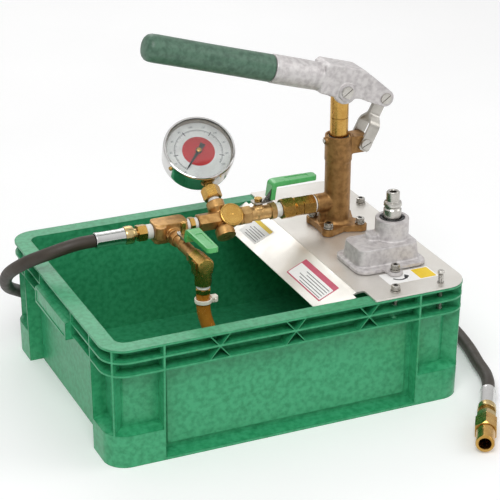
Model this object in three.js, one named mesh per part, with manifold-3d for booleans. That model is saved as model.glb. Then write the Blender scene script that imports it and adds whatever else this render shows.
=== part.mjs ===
// Hand-operated hydrostatic test pump on a water tank, in millimetres, +Z up.
// The origin is under the middle of the tank, X runs along its long side and the pump stands at +X.

import * as THREE from 'three';
import { mergeVertices } from 'three/addons/utils/BufferGeometryUtils.js';
import Module from 'manifold-3d';

const wasm = await Module();
wasm.setup();

// Clearances and shared values

const fit = { gap: 0.3, running: 0.35, overrun: 2, thread: 0.6, ballPlay: 1 };
const sides = { large: 24, medium: 16, small: 8, hose: 8, hex: 6, corner: 4 };

// Tank

const tank = {
  length: 440, width: 342, height: 143.4, cornerRadius: 28, baseInset: 2.6,
  rimWidth: 19, wall: 3, floor: 4, innerRadius: 12, innerTaper: 3,
  flange: 2.6, middleFlangeDrop: 14, lowerFlangeDrop: 30,
  postLength: 66.5, sidePostLength: 58, ledgeHeight: 38, ledgeRise: 5, ledgeSlope: 9, rib: 2.6,
  skirtHeight: 5, skirtFoot: 3,
  braceSpacing: 90, braceHalfWidth: 12.5, braceThickness: 1.6,
  gripWidth: 106, gripProud: 6, gripBottomDrop: 36.4, gripFrontDrop: 16.4, gripBackDrop: 8.4, gripWall: 2.6,
};

// Places on the tank: along X counted inwards from its right end, heights counted from its cover plate

const plateThickness = 2;
const plateTop = tank.height + fit.gap + plateThickness;

function fromRight(places) {
  return Object.fromEntries(Object.entries(places).map(([name, place]) => [name, tank.length / 2 - place]));
}

function onPlate(heights) {
  return Object.fromEntries(Object.entries(heights).map(([name, height]) => [name, plateTop + height]));
}

// Cover plate

const plate = {
  thickness: plateThickness, slopeAngle: 25, cornerRadius: 27, neckInset: 28.5, sideClearance: 1.2,
  ...fromRight({ right: 1, tabLeft: 122.5, bend: 132, slopeEnd: 174, neckRight: 121 }),
};

// Screws

const screw = { shank: 6, head: 10, headHeight: 6, socket: 5, socketDepth: 3, washer: 12, washerHeight: 1.6 };
const plateScrews = { frontInset: 13.4, backY: 85.2, below: 12, ...fromRight({ frontX: 91, backX: 10.1 }) };
const stud = {
  inset: 14.1, above: 15, head: 7.6, headHeight: 3.4, washer: 8, washerHeight: 0.8, ...fromRight({ x: 32.9 }),
};

// Pump barrel and plunger

const pump = {
  y: 34, barrel: 31.3, bore: 22.8, collar: 33,
  flange: 8, boltSpacing: 42, earRadius: 8.5, earBack: 35, earTurn: 160, waist: 22, outletWaist: 27,
  glandBore: 28, glandDepth: 10, glandSink: 2, spigot: 28, spigotLength: 12,
  outletBoss: 22.5, passage: 9, ribWidth: 7, ribLength: 10, ribInset: 6,
  lugHalfWidth: 11.5, lockScrew: 6, lockScrewProud: 3.5,
  ...fromRight({ x: 69.5, outletEnd: 99, lugEnd: 30 }),
  ...onPlate({ collarBottom: 85.3, top: 118.7, lugBottom: 95.3, lugTop: 116.3 }),
};
const plunger = { diameter: 21.8, groove: 0.6, grooveHeight: 1.2, ...onPlate({ bottom: 29.3, grooveZ: 140.9 }) };
const footValve = {
  diameter: 34, height: 29, drop: 14.3, seat: 9, chamber: 17, ball: 14, strainer: 36,
  strainerWall: 2, strainerBottom: 24, slots: 8, slotWidth: 4, slotHeight: 44,
};

// Lever linkage: three pins in the plane of the pump

const forkPin = { x: pump.x, diameter: 9, ...onPlate({ z: 176.6 }) };
const linkPin = { diameter: 8, ...fromRight({ x: 13 }), ...onPlate({ z: 158.4 }) };
const lugPin = { diameter: 8, slotSlack: 3.2, ...fromRight({ x: 40 }), ...onPlate({ z: 106 }) };
const pinHead = { proud: 1.6, rim: 3 };
const handle = {
  tilt: 16.3, axisHeight: 9.1, socket: 34, socketEnd: -96.5,
  grip: 32.3, gripEnd: -257.4, gripPlay: 0.15, core: 22, coreEnd: -225,
  forkHalfWidth: 17, forkInside: 23.6, bossRadius: 10.5, bossProud: 3, rodRoom: 19,
  headLeft: -34, headRight: 26, headTop: 29.4, headRadius: 15.5, headCorner: 4, headFrom: 215, headTo: 335,
  headFall: 5.2, headShoulder: 25.9, headCrown: 15.8,
  tailHalfWidth: 10, tailRadius: 10.5, tailSlotStart: 34, tailTop: 29.1, tailFrom: 250, tailTo: 430,
  tailFoot: 13, tailLow: 5.3, tailWaist: 21, tailUnder: 9.5, tailShoulder: 26.3, tailDrop: 22.2,
};
const link = { thickness: 3, width: 14.5, joggleTop: 25, joggleBottom: 35, endBelow: 8.5, endRadius: 2.5 };

// Pipe run from the pump outlet to the hose

const pipe = onPlate({ z: 34.3 });
const drain = onPlate({ z: 29.3 });
const adapter = {
  flats: 21.5, male: 16, maleLength: 9, socketDepth: 14, tape: 19.6, ...fromRight({ left: 128.2, right: 101.5 }),
};
const nipple = {
  flats: 23, male: 16.6, reach: 11, intoValve: 5, bore: 8,
  ...fromRight({ left: 144.6, right: 128.5 }),
};
const mainValve = {
  barrel: 17, flats: 20, hexLength: 12, endFlats: 19.5, endLength: 7,
  neck: 11, neckTop: 11.5, bore: 8.6, ball: 13, stem: 7, nutFlats: 9, nutTop: 19.8, socket: 14.4, socketDepth: 10,
  ...fromRight({ left: 196.5, right: 152.3, stemX: 173.9 }),
};
const drainValve = {
  front: 15.4, back: -43, stemY: -9, barrel: 14.4, flats: 17, hexLength: 9, endFlats: 16, endLength: 8,
  neck: 9, neckTop: 12.8, bore: 5, ball: 9.6, stem: 5, nutFlats: 7, nutTop: 29.8, male: 12.6, reach: 9,
  ...fromRight({ x: 286 }),
};
const lever = { strip: 2, width: 13, sleeve: 1.7, tipShare: 0.82, back: 8, endRadius: 4, coverShare: 0.15 };
const mainLever = { base: 2.1, rise: 21.1, foot: 16, kneeRun: 3, tip: 74 };
const drainLever = { base: 0.5, rise: 15, foot: 22, kneeRun: 4.5, tip: 86 };

// Check valve, tee and manifold

const checkValve = {
  body: 21, male: 14, maleReach: 9, cap: 28.4, capFoot: 8, capTop: 12, capBevel: 0.8, capLean: 44,
  seatRing: 26, chamber: 15, chamberFloor: 1.8, poppet: 14, poppetHeight: 2, bore: 8,
  armFlats: 19, armRoll: 16.2, armSocket: 13.1, armSocketDepth: 9,
  gaugeLean: 51, neckShare: 0.6, flareStart: 8.5, flareEnd: 13.5,
  gaugeBoss: 21.6, gaugeBossTop: 22.8, plug: 23, plugBottom: 23.5, ball: 25,
  ...fromRight({ x: 211, right: 196.8, armLeft: 251.8, armRight: 222.8, gaugeX: 222 }),
};
const teeNipple = {
  tape: 15.2, flats: 16, hexLength: 6, male: 12.6, reach: 8, bore: 6,
  ...fromRight({ left: 266.7, right: 252.1 }),
};
const manifold = {
  front: 22, back: 46, cornerRadius: 6, column: 14, columnY: 22, port: 19, portProud: 5, bore: 8,
  ...fromRight({ left: 308.4, right: 267, columnX: 302 }),
  ...onPlate({ top: 44.8, bottom: 21, columnTop: 43, columnBottom: 28.3 }),
};
const elbow = {
  y: -65, front: -43.3, face: -74, flats: 18, legFlats: 18, bore: 6, male: 11, reach: 7,
  padHalf: 10.6, padThickness: 2.6, padBack: -68, padFront: -56,
  ...onPlate({ legBottom: 4.8, padBottom: 18, padTop: 33 }),
};
const barb = {
  male: 12.6, reach: 8, tape: 15.6, flats: 16, stem: 10, bore: 6,
  ...onPlate({ tapeBottom: 0.3, hexBottom: -5.3, stemBottom: -23.7 }),
};
const tie = { height: 4.6, thickness: 1.6, headLength: 8, headWidth: 7, headHeight: 8, ...onPlate({ z: -14.7 }) };
const drainTube = { outer: 16, bore: 12, steps: 16 };

// Gauge, leaning back on the check valve

const gauge = {
  yaw: -6.3, diameter: 85, back: -17, front: 13.5, wall: 1.6,
  bezelProud: 0.9, bezelBack: 7, bezelFront: 18.2, bezelOver: 2.1, bezelLip: 1.6,
  dialTop: 7.5, dialThickness: 1.2, arborHole: 4,
  pointerBottom: 9, pointerThickness: 1, pointerLength: 30, pointerTail: 11, pointerWidth: 3, tailWidth: 6,
  hub: 8, hubTop: 11.4, arbor: 3, arborBottom: 2, pointerZero: 225,
  thread: 12.8, threadStart: 12.3, tape: 13.6, stemSeat: 23.1, hexStart: 28, hexEnd: 43, hexFlats: 20,
  neck: 12, neckAbove: 4, neckInCase: 4, bore: 5,
};
const caseFoot = gauge.hexEnd + gauge.neckAbove;
const gaugeReach = caseFoot + gauge.diameter / 2;

// Drill-driven filling pump

const gearCase = {
  y: -75, flangeLength: 90, flangeWidth: 69, flangeRadius: 14, flange: 5,
  boxLength: 81, boxWidth: 51, boxRadius: 12, boxTaper: 5,
  towerY: -70, tower: 39.6, towerBore: 30,
  idlerY: -66, idlerBoss: 20.5, earY: -118, earRadius: 9, chamberPlay: 0.8,
  ...fromRight({ x: 66.5, towerX: 50.5, idlerX: 72, earX: 70.5 }),
  ...onPlate({
    boxTop: 25.3, chamberTop: 13.3, towerTop: 50.3, bearingFloor: 38.3, idlerBossTop: 32.3, idlerHoleTop: 23.3,
  }),
};
const gearCover = {
  length: 70, width: 52, radius: 9, thickness: 11, plugShare: 0.85, holeDepth: 8, inlet: 18, inletBore: 12,
  inletDrop: 40,
};
const shaft = { diameter: 21, tip: 15.6, socket: 8, socketDepth: 6, foot: 12, ...onPlate({ step: 69.3, top: 81.7 }) };
const bearing = { sink: 3 };
const gear = { teeth: 12, height: 12, rootShare: 0.8, tipShare: 1.14, journal: 8, toothShares: [0.3, 0.21, 0.1] };

// Hose and its end pieces

const hose = { diameter: 15, ferrule: 18.5, bore: 6, steps: 36 };
const hoseAdapter = {
  flats: 18, tape: 17.7, male: 12.6, reach: 8, seat: 9.4, seatReach: 7,
  ...fromRight({ left: 327.5, right: 316.5, tapeRight: 308.7 }),
};
const hoseFitting = {
  collar: 21.5, neck: 13, seatDepth: 8,
  ...fromRight({ neckRight: 327.8, collarRight: 332.4, collarLeft: 343, left: 378.6 }),
};
const endFitting = {
  startX: 237.5, startY: -191.6, endX: 172, endY: -295.5, z: 12.3, ferruleLength: 39, collar: 21.5, collarEnd: 50,
  neck: 13, nutStart: 60, nutEnd: 72, nutFlats: 21,
};
const endAdapter = {
  flats: 24, start: 72.3, hexEnd: 97, nose: 21.8, noseEnd: 21.2, bore: 12, male: 10, maleReach: 8,
};

// Free routes, chosen by hand: the pressure hose from its fitting to the end fitting on the floor
const hoseRoute = [
  [-159.2, 34, 180], [-177, 34, 179.6], [-195, 35.6, 176.2], [-212, 41, 170], [-227.5, 53, 160.5],
  [-239, 72, 146], [-243.5, 95, 129], [-241.5, 118, 111], [-235, 140, 94], [-224.5, 162, 77.5],
  [-207, 180, 62], [-184, 191, 46], [-156, 197.5, 31], [-124, 200, 18.5], [-88, 200.5, 11],
  [-48, 200, 8.2], [0, 199, 7.8], [50, 198, 7.8], [100, 199, 7.8], [145, 200, 7.8],
  [187, 197, 7.8], [224, 184, 7.8], [253, 160, 7.8], [273, 127, 7.8], [284, 88, 7.8],
  [288, 45, 7.8], [288, 3, 7.8], [284.5, -40, 7.9], [277, -82, 8.2], [266, -122, 9.3],
  [258, -152, 11], [247.9, -175.2, 12.3], [237.9, -191, 12.3],
];
// and the drain tube from its barb down onto the tank floor
const drainRoute = [
  [-66, -65, 140], [-66, -65, 127], [-65, -65.6, 114], [-61.8, -67.5, 101], [-57, -70.2, 88],
  [-50.5, -73.6, 74], [-42.5, -77.4, 60], [-33, -81.2, 46.5], [-24, -84.2, 35.5], [-15, -87.1, 26.6],
  [-5.4, -90.1, 20], [5, -93.4, 15.7], [15.6, -96.7, 13.3], [27, -100.3, 12.4], [40, -104.4, 12.3],
  [52, -108.2, 12.3],
];

// Directions

const RIGHT = new THREE.Vector3(1, 0, 0);
const LEFT = new THREE.Vector3(-1, 0, 0);
const FRONT = new THREE.Vector3(0, -1, 0);
const gaugeLean = THREE.MathUtils.degToRad(checkValve.gaugeLean);
const capLean = THREE.MathUtils.degToRad(checkValve.capLean);
const GAUGE_UP = new THREE.Vector3(0, Math.sin(gaugeLean), Math.cos(gaugeLean));
const GAUGE_OUT = new THREE.Vector3(0, -Math.cos(gaugeLean), Math.sin(gaugeLean));
const CAP_OUT = new THREE.Vector3(0, -Math.cos(capLean), Math.sin(capLean));
const QUARTER_TURN = Math.PI / 2;

// Finishes

const finishes = {
  tankGreen: { color: 0x15784a, metalness: 0, roughness: 0.45 },
  stainless: { color: 0xc9c5bd, metalness: 0.9, roughness: 0.4 },
  bronze: { color: 0x8a6238, metalness: 0.75, roughness: 0.5 },
  brass: { color: 0xc19a55, metalness: 0.9, roughness: 0.3 },
  steel: { color: 0xb5b0a8, metalness: 0.9, roughness: 0.32 },
  castAluminium: { color: 0xa7a3a0, metalness: 0.5, roughness: 0.6 },
  chrome: { color: 0xdddddd, metalness: 1, roughness: 0.12 },
  rubber: { color: 0x24221c, metalness: 0, roughness: 0.7 },
  gripGreen: { color: 0x25462f, metalness: 0, roughness: 0.5 },
  vinylGreen: { color: 0x45a352, metalness: 0, roughness: 0.35 },
  nylon: { color: 0xe9e3cf, metalness: 0, roughness: 0.45 },
  amber: { color: 0xc9852c, metalness: 0, roughness: 0.3 },
  dialWhite: { color: 0xf1f1ee, metalness: 0, roughness: 0.5 },
  black: { color: 0x161616, metalness: 0, roughness: 0.5 },
  glass: { color: 0xf4f7f7, metalness: 0, roughness: 0.05 },
};

const model = new THREE.Group();

// Puts a closed shape into the model under its name.
function add(name, shape, finish, parent = model) {
  const mesh = new THREE.Mesh(shape, new THREE.MeshStandardMaterial(finishes[finish]));
  mesh.name = name;
  parent.add(mesh);
  return mesh;
}

// Solid joins and cuts

function toSolid(shape) {
  const bare = new THREE.BufferGeometry();
  bare.setAttribute('position', shape.getAttribute('position').clone());
  if (shape.index) bare.setIndex(shape.index.clone());
  const merged = mergeVertices(bare, 1e-4);
  const vertProperties = new Float32Array(merged.getAttribute('position').array);
  const triVerts = new Uint32Array(merged.index.array);
  return new wasm.Manifold(new wasm.Mesh({ numProp: 3, vertProperties, triVerts }));
}

function toShape(solid) {
  const mesh = solid.getMesh();
  const shape = new THREE.BufferGeometry();
  shape.setAttribute('position', new THREE.BufferAttribute(new Float32Array(mesh.vertProperties), 3));
  shape.setIndex(new THREE.BufferAttribute(new Uint32Array(mesh.triVerts), 1));
  return shape;
}

function join(...shapes) {
  return toShape(shapes.map(toSolid).reduce((whole, next) => whole.add(next)));
}

function cut(shape, ...tools) {
  return toShape(tools.map(toSolid).reduce((rest, tool) => rest.subtract(tool), toSolid(shape)));
}

function common(shape, other) {
  return toShape(toSolid(shape).intersect(toSolid(other)));
}

// Basic shapes, all built along +Z

function cylinder(diameter, z0, z1, count = sides.medium) {
  const shape = new THREE.CylinderGeometry(diameter / 2, diameter / 2, z1 - z0, count);
  return shape.rotateX(QUARTER_TURN).translate(0, 0, (z0 + z1) / 2);
}

function cone(diameter0, diameter1, z0, z1, count = sides.medium) {
  const shape = new THREE.CylinderGeometry(diameter1 / 2, diameter0 / 2, z1 - z0, count);
  return shape.rotateX(QUARTER_TURN).translate(0, 0, (z0 + z1) / 2);
}

function hexagon(flats, z0, z1, roll = 0) {
  return cylinder(flats / Math.cos(Math.PI / sides.hex), z0, z1, sides.hex).rotateZ(roll);
}

function turned(profile, count = sides.medium) {
  const points = profile.map(([radius, z]) => new THREE.Vector2(radius, z));
  return new THREE.LatheGeometry(points, count).rotateX(QUARTER_TURN);
}

function ring(outer, inner, z0, z1, count = sides.medium) {
  const [ro, ri] = [outer / 2, inner / 2];
  return turned([[ri, z0], [ro, z0], [ro, z1], [ri, z1], [ri, z0]], count);
}

function ball(diameter) {
  return new THREE.SphereGeometry(diameter / 2, sides.small, sides.small / 2).rotateX(QUARTER_TURN);
}

function slab(x0, x1, y0, y1, z0, z1) {
  const shape = new THREE.BoxGeometry(x1 - x0, y1 - y0, z1 - z0);
  return shape.translate((x0 + x1) / 2, (y0 + y1) / 2, (z0 + z1) / 2);
}

function outlineShape(points) {
  return new THREE.Shape(points.map(([x, y]) => new THREE.Vector2(x, y)));
}

function prism(points, z0, z1) {
  const shape = new THREE.ExtrudeGeometry(outlineShape(points), { depth: z1 - z0, bevelEnabled: false });
  return shape.translate(0, 0, z0);
}

// A side view in X and Z, as thick in Y as its two limits say.
function sideways(points, y0, y1) {
  return prism(points, 0, y1 - y0).rotateX(QUARTER_TURN).translate(0, y1, 0);
}

// An end view in Y and Z, as long in X as its two limits say.
function endways(points, x0, x1) {
  return prism(points, 0, x1 - x0).rotateX(QUARTER_TURN).rotateZ(QUARTER_TURN).translate(x0, 0, 0);
}

function roundedOutline(length, width, radius, steps = sides.corner) {
  const points = [];
  const corners = [[1, 1], [-1, 1], [-1, -1], [1, -1]];
  corners.forEach(([sx, sy], quarter) => {
    for (let step = 0; step <= steps; step += 1) {
      const angle = (quarter + step / steps) * QUARTER_TURN;
      const x = sx * (length / 2 - radius) + radius * Math.cos(angle);
      points.push([x, sy * (width / 2 - radius) + radius * Math.sin(angle)]);
    }
  });
  return points;
}

// Joins a low outline to a high one with as many points, both convex.
function drafted(low, high, z0, z1) {
  const count = low.length;
  const points = [...low.map(([x, y]) => [x, y, z0]), ...high.map(([x, y]) => [x, y, z1])];
  const faces = [];
  for (let k = 0; k < count; k += 1) {
    const next = (k + 1) % count;
    faces.push(k, next, count + next, k, count + next, count + k);
    if (k > 0 && next > 0) {
      faces.push(0, next, k, count, count + k, count + next);
    }
  }
  const shape = new THREE.BufferGeometry();
  shape.setAttribute('position', new THREE.Float32BufferAttribute(points.flat(), 3));
  shape.setIndex(faces);
  return shape;
}

// Turns a shape built along +Z to face a direction from a starting place.
function facing(shape, direction, place) {
  const turn = new THREE.Quaternion().setFromUnitVectors(new THREE.Vector3(0, 0, 1), direction);
  return shape.applyQuaternion(turn).translate(...place);
}

function at(shape, x, y, z = 0) {
  return shape.translate(x, y, z);
}

function arcPoints(x, y, radius, fromDegrees, toDegrees, steps) {
  const points = [];
  for (let step = 0; step <= steps; step += 1) {
    const angle = THREE.MathUtils.degToRad(fromDegrees + ((toDegrees - fromDegrees) * step) / steps);
    points.push([x + radius * Math.cos(angle), y + radius * Math.sin(angle)]);
  }
  return points;
}

// A line of points moved sideways to its left, with mitred bends.
function offsetPath(points, distance) {
  const path = points.map(([x, y]) => new THREE.Vector2(x, y));
  const normals = path.slice(1).map((p, k) => {
    const run = p.clone().sub(path[k]).normalize();
    return new THREE.Vector2(-run.y, run.x);
  });
  return path.map((p, k) => {
    const before = normals[Math.max(k - 1, 0)];
    const after = normals[Math.min(k, normals.length - 1)];
    const mitre = before.clone().add(after).normalize();
    const moved = p.clone().addScaledVector(mitre, distance / mitre.dot(before));
    return [moved.x, moved.y];
  });
}

// The outline of a bent strip whose one face follows the points, with its thickness on their left.
function stripOutline(points, thickness) {
  return [...points, ...offsetPath(points, thickness).reverse()];
}

// Tank

const middleFlangeTop = tank.height - tank.middleFlangeDrop;
const lowerFlangeTop = tank.height - tank.lowerFlangeDrop;

// The outer outline of the tank at a height, drawn in at the base.
function tankOutline(z, inset = 0) {
  const draw = 2 * (tank.baseInset * (1 - z / tank.height) + inset);
  return roundedOutline(tank.length - draw, tank.width - draw, tank.cornerRadius - draw / 2);
}

function tankInside(grow, z0, z1) {
  const length = tank.length - 2 * (tank.rimWidth - grow);
  const width = tank.width - 2 * (tank.rimWidth - grow);
  const radius = tank.innerRadius + grow;
  const taper = 2 * tank.innerTaper;
  const low = roundedOutline(length - taper, width - taper, radius);
  return drafted(low, roundedOutline(length, width, radius), z0, z1);
}

// A level band across the whole tank, wider than its envelope.
function tankBand(z0, z1) {
  return slab(-tank.length, tank.length, -tank.width, tank.width, z0, z1);
}

// A block that narrows upwards from outside the envelope, as a sloping ledge does.
function slopingBand(z0, z1, inset) {
  return drafted(tankOutline(z0, -fit.overrun), tankOutline(z1, inset), z0, z1);
}

// The solid feet of the four corner posts, with sloping ledges.
function postFeet() {
  const top = tank.ledgeHeight + tank.ledgeRise;
  const block = join(tankBand(-fit.overrun, tank.ledgeHeight), slopingBand(tank.ledgeHeight, top, tank.ledgeSlope));
  const halfX = tank.length / 2 - tank.postLength;
  const halfY = tank.width / 2 - tank.sidePostLength;
  const tall = top + fit.overrun;
  return cut(
    block,
    slab(-halfX, halfX, -2 * tank.width, 2 * tank.width, -2 * fit.overrun, tall),
    slab(-2 * tank.length, 2 * tank.length, -halfY, halfY, -2 * fit.overrun, tall),
  );
}

// Upright ribs at the post edges, the corners and the ends of the hand grips.
function uprightRibs() {
  const half = tank.rib / 2;
  const low = -fit.overrun;
  const high = tank.height + fit.overrun;
  const bands = [];
  const postX = tank.length / 2 - tank.postLength;
  const postY = tank.width / 2 - tank.sidePostLength;
  [-1, 1].forEach((side) => {
    const x = side * (postX + half);
    const y = side * (postY + half);
    const g = side * (tank.gripWidth / 2 + half);
    bands.push(slab(x - half, x + half, -tank.width, tank.width, low, high));
    bands.push(slab(-tank.length, tank.length, y - half, y + half, low, high));
    bands.push(slab(-tank.length, tank.length, g - half, g + half, lowerFlangeTop - half, high));
  });
  const cx = tank.length / 2 - tank.cornerRadius;
  const cy = tank.width / 2 - tank.cornerRadius;
  [[1, 1], [-1, 1], [-1, -1], [1, -1]].forEach(([sx, sy], quarter) => {
    const fin = slab(0, 2 * tank.cornerRadius, -half, half, low, high);
    bands.push(at(fin.rotateZ((quarter + 1 / 2) * QUARTER_TURN), sx * cx, sy * cy));
  });
  return bands;
}

// Crossed braces between the flanges of the long sides.
function braces() {
  const low = lowerFlangeTop - tank.flange / 2;
  const high = tank.height - tank.flange / 2;
  const w = tank.braceHalfWidth;
  const t = tank.braceThickness / 2;
  const parts = [];
  [-1, 0, 1].forEach((place) => {
    const x = place * tank.braceSpacing;
    [-1, 1].forEach((way) => {
      const [foot, head] = way < 0 ? [x - w, x + w] : [x + w, x - w];
      const outline = [[foot - t, low], [foot + t, low], [head + t, high], [head - t, high]];
      parts.push(sideways(outline, -tank.width, tank.width));
    });
  });
  return parts;
}

// The hollow hand grip with a card face, at one end of the tank.
function handGrip(side) {
  const out = tank.length / 2 + tank.gripProud;
  const wallFace = tank.length / 2 - tank.rimWidth + tank.wall / 2;
  const { gripWall: wall } = tank;
  const drops = [tank.gripBottomDrop, tank.gripFrontDrop, tank.gripBackDrop];
  const [bottom, top, back] = drops.map((drop) => tank.height - drop);
  const half = tank.gripWidth / 2;
  const outer = [[wallFace, bottom], [out, bottom], [out, top], [wallFace, back]];
  const inner = [
    [wallFace - fit.overrun, bottom - fit.overrun], [out - wall, bottom - fit.overrun],
    [out - wall, top - wall], [wallFace - fit.overrun, back - wall],
  ];
  const shell = cut(sideways(outer, -half, half), sideways(inner, -half + wall, half - wall));
  return side < 0 ? shell.rotateZ(Math.PI) : shell;
}

// The room inside a hand grip, cut from the flanges that would cross it.
function handRoom(side) {
  const out = tank.length / 2 + tank.gripProud - tank.gripWall;
  const inside = tank.length / 2 - tank.rimWidth + tank.wall + fit.gap;
  const half = tank.gripWidth / 2 - tank.gripWall;
  const low = tank.height - tank.gripBottomDrop - fit.overrun;
  const room = [
    [inside, low], [out, low], [out, tank.height - tank.gripFrontDrop - tank.gripWall],
    [inside, tank.height - tank.gripBackDrop - tank.gripWall],
  ];
  const shape = sideways(room, -half, half);
  return side < 0 ? shape.rotateZ(Math.PI) : shape;
}

// The low sloping foot along each long side, between the posts.
function skirt() {
  const half = tank.length / 2 - tank.postLength + tank.rib / 2;
  const top = tank.skirtHeight + fit.overrun;
  return common(
    join(
      tankBand(-fit.overrun, tank.skirtFoot),
      slopingBand(tank.skirtFoot, tank.skirtHeight, tank.rimWidth - tank.wall),
    ),
    slab(-half, half, -tank.width, tank.width, -2 * fit.overrun, top),
  );
}

// Where the stud and the two plate screws pass the rim, in X and Y.
const studPlace = [stud.x, stud.inset - tank.width / 2];
const frontScrewPlace = [plateScrews.frontX, plateScrews.frontInset - tank.width / 2];
const backScrewPlace = [plateScrews.backX, plateScrews.backY];
const rimPlaces = [studPlace, frontScrewPlace, backScrewPlace];

function studHoles() {
  const deep = lowerFlangeTop - tank.flange - fit.overrun;
  const size = screw.shank + 2 * fit.gap;
  const hole = ([x, y]) => at(cylinder(size, deep, tank.height + fit.overrun, sides.small), x, y);
  return rimPlaces.map(hole);
}

function makeTank() {
  const above = tank.height + fit.overrun;
  const flanges = [
    tankBand(lowerFlangeTop - tank.flange, lowerFlangeTop),
    tankBand(middleFlangeTop - tank.flange, middleFlangeTop),
    tankBand(tank.height - tank.flange, above),
  ];
  const wallTub = tankInside(tank.wall, -fit.overrun, above);
  const envelope = drafted(tankOutline(0), tankOutline(tank.height), 0, tank.height);
  const shell = common(envelope, join(wallTub, ...flanges, postFeet(), ...uprightRibs(), skirt(), ...braces()));
  const body = cut(
    join(shell, handGrip(-1), handGrip(1)),
    handRoom(-1),
    handRoom(1),
    tankInside(0, tank.floor, above + fit.overrun),
    ...studHoles(),
  );
  add('tank', body, 'tankGreen');
}

// Cover plate

function plateHoles() {
  const z0 = plateTop - plate.thickness - fit.overrun;
  const z1 = plateTop + fit.overrun;
  const hole = (x, y, size) => at(cylinder(size + 2 * fit.gap, z0, z1, sides.small), x, y);
  const half = pump.boltSpacing / 2;
  const holes = [
    at(cylinder(pump.spigot + 2 * fit.gap, z0, z1), pump.x, pump.y),
    ...rimPlaces.map(([x, y]) => hole(x, y, screw.shank)),
    hole(gearCase.earX, gearCase.earY, screw.shank),
    at(prism(roundedOutline(gearCover.length * gearCover.plugShare + 2 * fit.gap,
      gearCover.width * gearCover.plugShare + 2 * fit.gap, gearCover.radius), z0, z1), gearCase.x, gearCase.y),
  ];
  [[-1, -1], [1, -1], [1, 1], [-1, 1]].forEach(([sx, sy]) => {
    holes.push(hole(pump.x + sx * half, pump.y + sy * half, screw.shank));
  });
  return holes;
}

function makeCoverPlate() {
  const edge = tank.width / 2 - fit.gap;
  const inner = tank.width / 2 - tank.rimWidth - plate.sideClearance;
  const { right, tabLeft, neckRight, bend, cornerRadius: r } = plate;
  const neckHalf = tank.width / 2 - plate.neckInset;
  const front = [[bend, -neckHalf], [neckRight, -neckHalf], [tabLeft, -edge]];
  const cornerFront = arcPoints(right - r, -edge + r, r, -90, 0, sides.corner);
  const cornerBack = arcPoints(right - r, edge - r, r, 0, 90, sides.corner);
  const back = [[tabLeft, edge], [neckRight, neckHalf], [bend, neckHalf]];
  const flat = prism([...front, ...cornerFront, ...cornerBack, ...back], plateTop - plate.thickness, plateTop);
  const fall = (bend - plate.slopeEnd) * Math.tan(THREE.MathUtils.degToRad(plate.slopeAngle));
  const bottom = plateTop - plate.thickness;
  const bottomLine = [[plate.slopeEnd, bottom - fall], [bend, bottom], [bend + fit.gap, bottom]];
  const slope = sideways(stripOutline(bottomLine, plate.thickness), -inner, inner);
  const flange = common(slope, slab(0, bend, -inner, inner, 0, plateTop));
  const neck = common(slope, slab(bend - fit.gap, bend + fit.gap, -neckHalf, neckHalf, 0, plateTop));
  add('cover_plate', cut(join(flat, flange, neck), ...plateHoles()), 'stainless');
}

// Screws

// A socket-head screw with its washer, seated at z = 0 and pointing down.
function capScrew(reach) {
  const headFoot = screw.washerHeight;
  const headTop = headFoot + screw.headHeight;
  const body = join(
    cylinder(screw.shank, -reach, headFoot + fit.overrun, sides.small),
    cylinder(screw.washer, 0, screw.washerHeight, sides.small),
    cylinder(screw.head, headFoot, headTop, sides.small),
  );
  return cut(body, hexagon(screw.socket, headTop - screw.socketDepth, headTop + fit.overrun));
}

function makeScrews() {
  const half = pump.boltSpacing / 2;
  const flangeTop = plateTop + fit.gap + pump.flange + fit.gap;
  const reach = flangeTop - plateTop + plate.thickness + screw.head;
  [[-1, -1], [1, -1], [1, 1], [-1, 1]].forEach(([sx, sy], k) => {
    const bolt = at(capScrew(reach), pump.x + sx * half, pump.y + sy * half, flangeTop);
    add(`pump_bolt_${k + 1}`, bolt, 'steel');
  });
  const seat = plateTop + fit.gap;
  const rimReach = plate.thickness + tank.flange + plateScrews.below;
  add('plate_screw_front', at(capScrew(rimReach), ...frontScrewPlace, seat), 'steel');
  add('plate_screw_back', at(capScrew(rimReach), ...backScrewPlace, seat), 'steel');
  const caseSeat = seat + gearCase.flange + fit.gap;
  const caseReach = gearCase.flange + plate.thickness + screw.head;
  add('case_screw', at(capScrew(caseReach), gearCase.earX, gearCase.earY, caseSeat), 'steel');
  const foot = lowerFlangeTop - tank.flange;
  const post = join(
    cylinder(screw.shank, foot, plateTop + stud.above, sides.small),
    cylinder(stud.washer, seat, seat + stud.washerHeight, sides.small),
    cylinder(stud.head, plateTop + stud.above - stud.headHeight, plateTop + stud.above),
  );
  add('plate_stud', at(post, ...studPlace), 'steel');
}

// Pump body

// Four bolt ears with drawn-in sides between them, least on the side of the outlet.
function flangeOutline() {
  const half = pump.boltSpacing / 2;
  const points = [];
  [[1, 1], [-1, 1], [-1, -1], [1, -1]].forEach(([sx, sy], quarter) => {
    const middle = (quarter + 1) * QUARTER_TURN;
    const from = THREE.MathUtils.radToDeg(quarter * QUARTER_TURN) - pump.earBack;
    points.push(...arcPoints(sx * half, sy * half, pump.earRadius, from, from + pump.earTurn, sides.corner));
    const waist = quarter === 1 ? pump.outletWaist : pump.waist;
    points.push([waist * Math.cos(middle), waist * Math.sin(middle)]);
  });
  return points;
}

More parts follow.
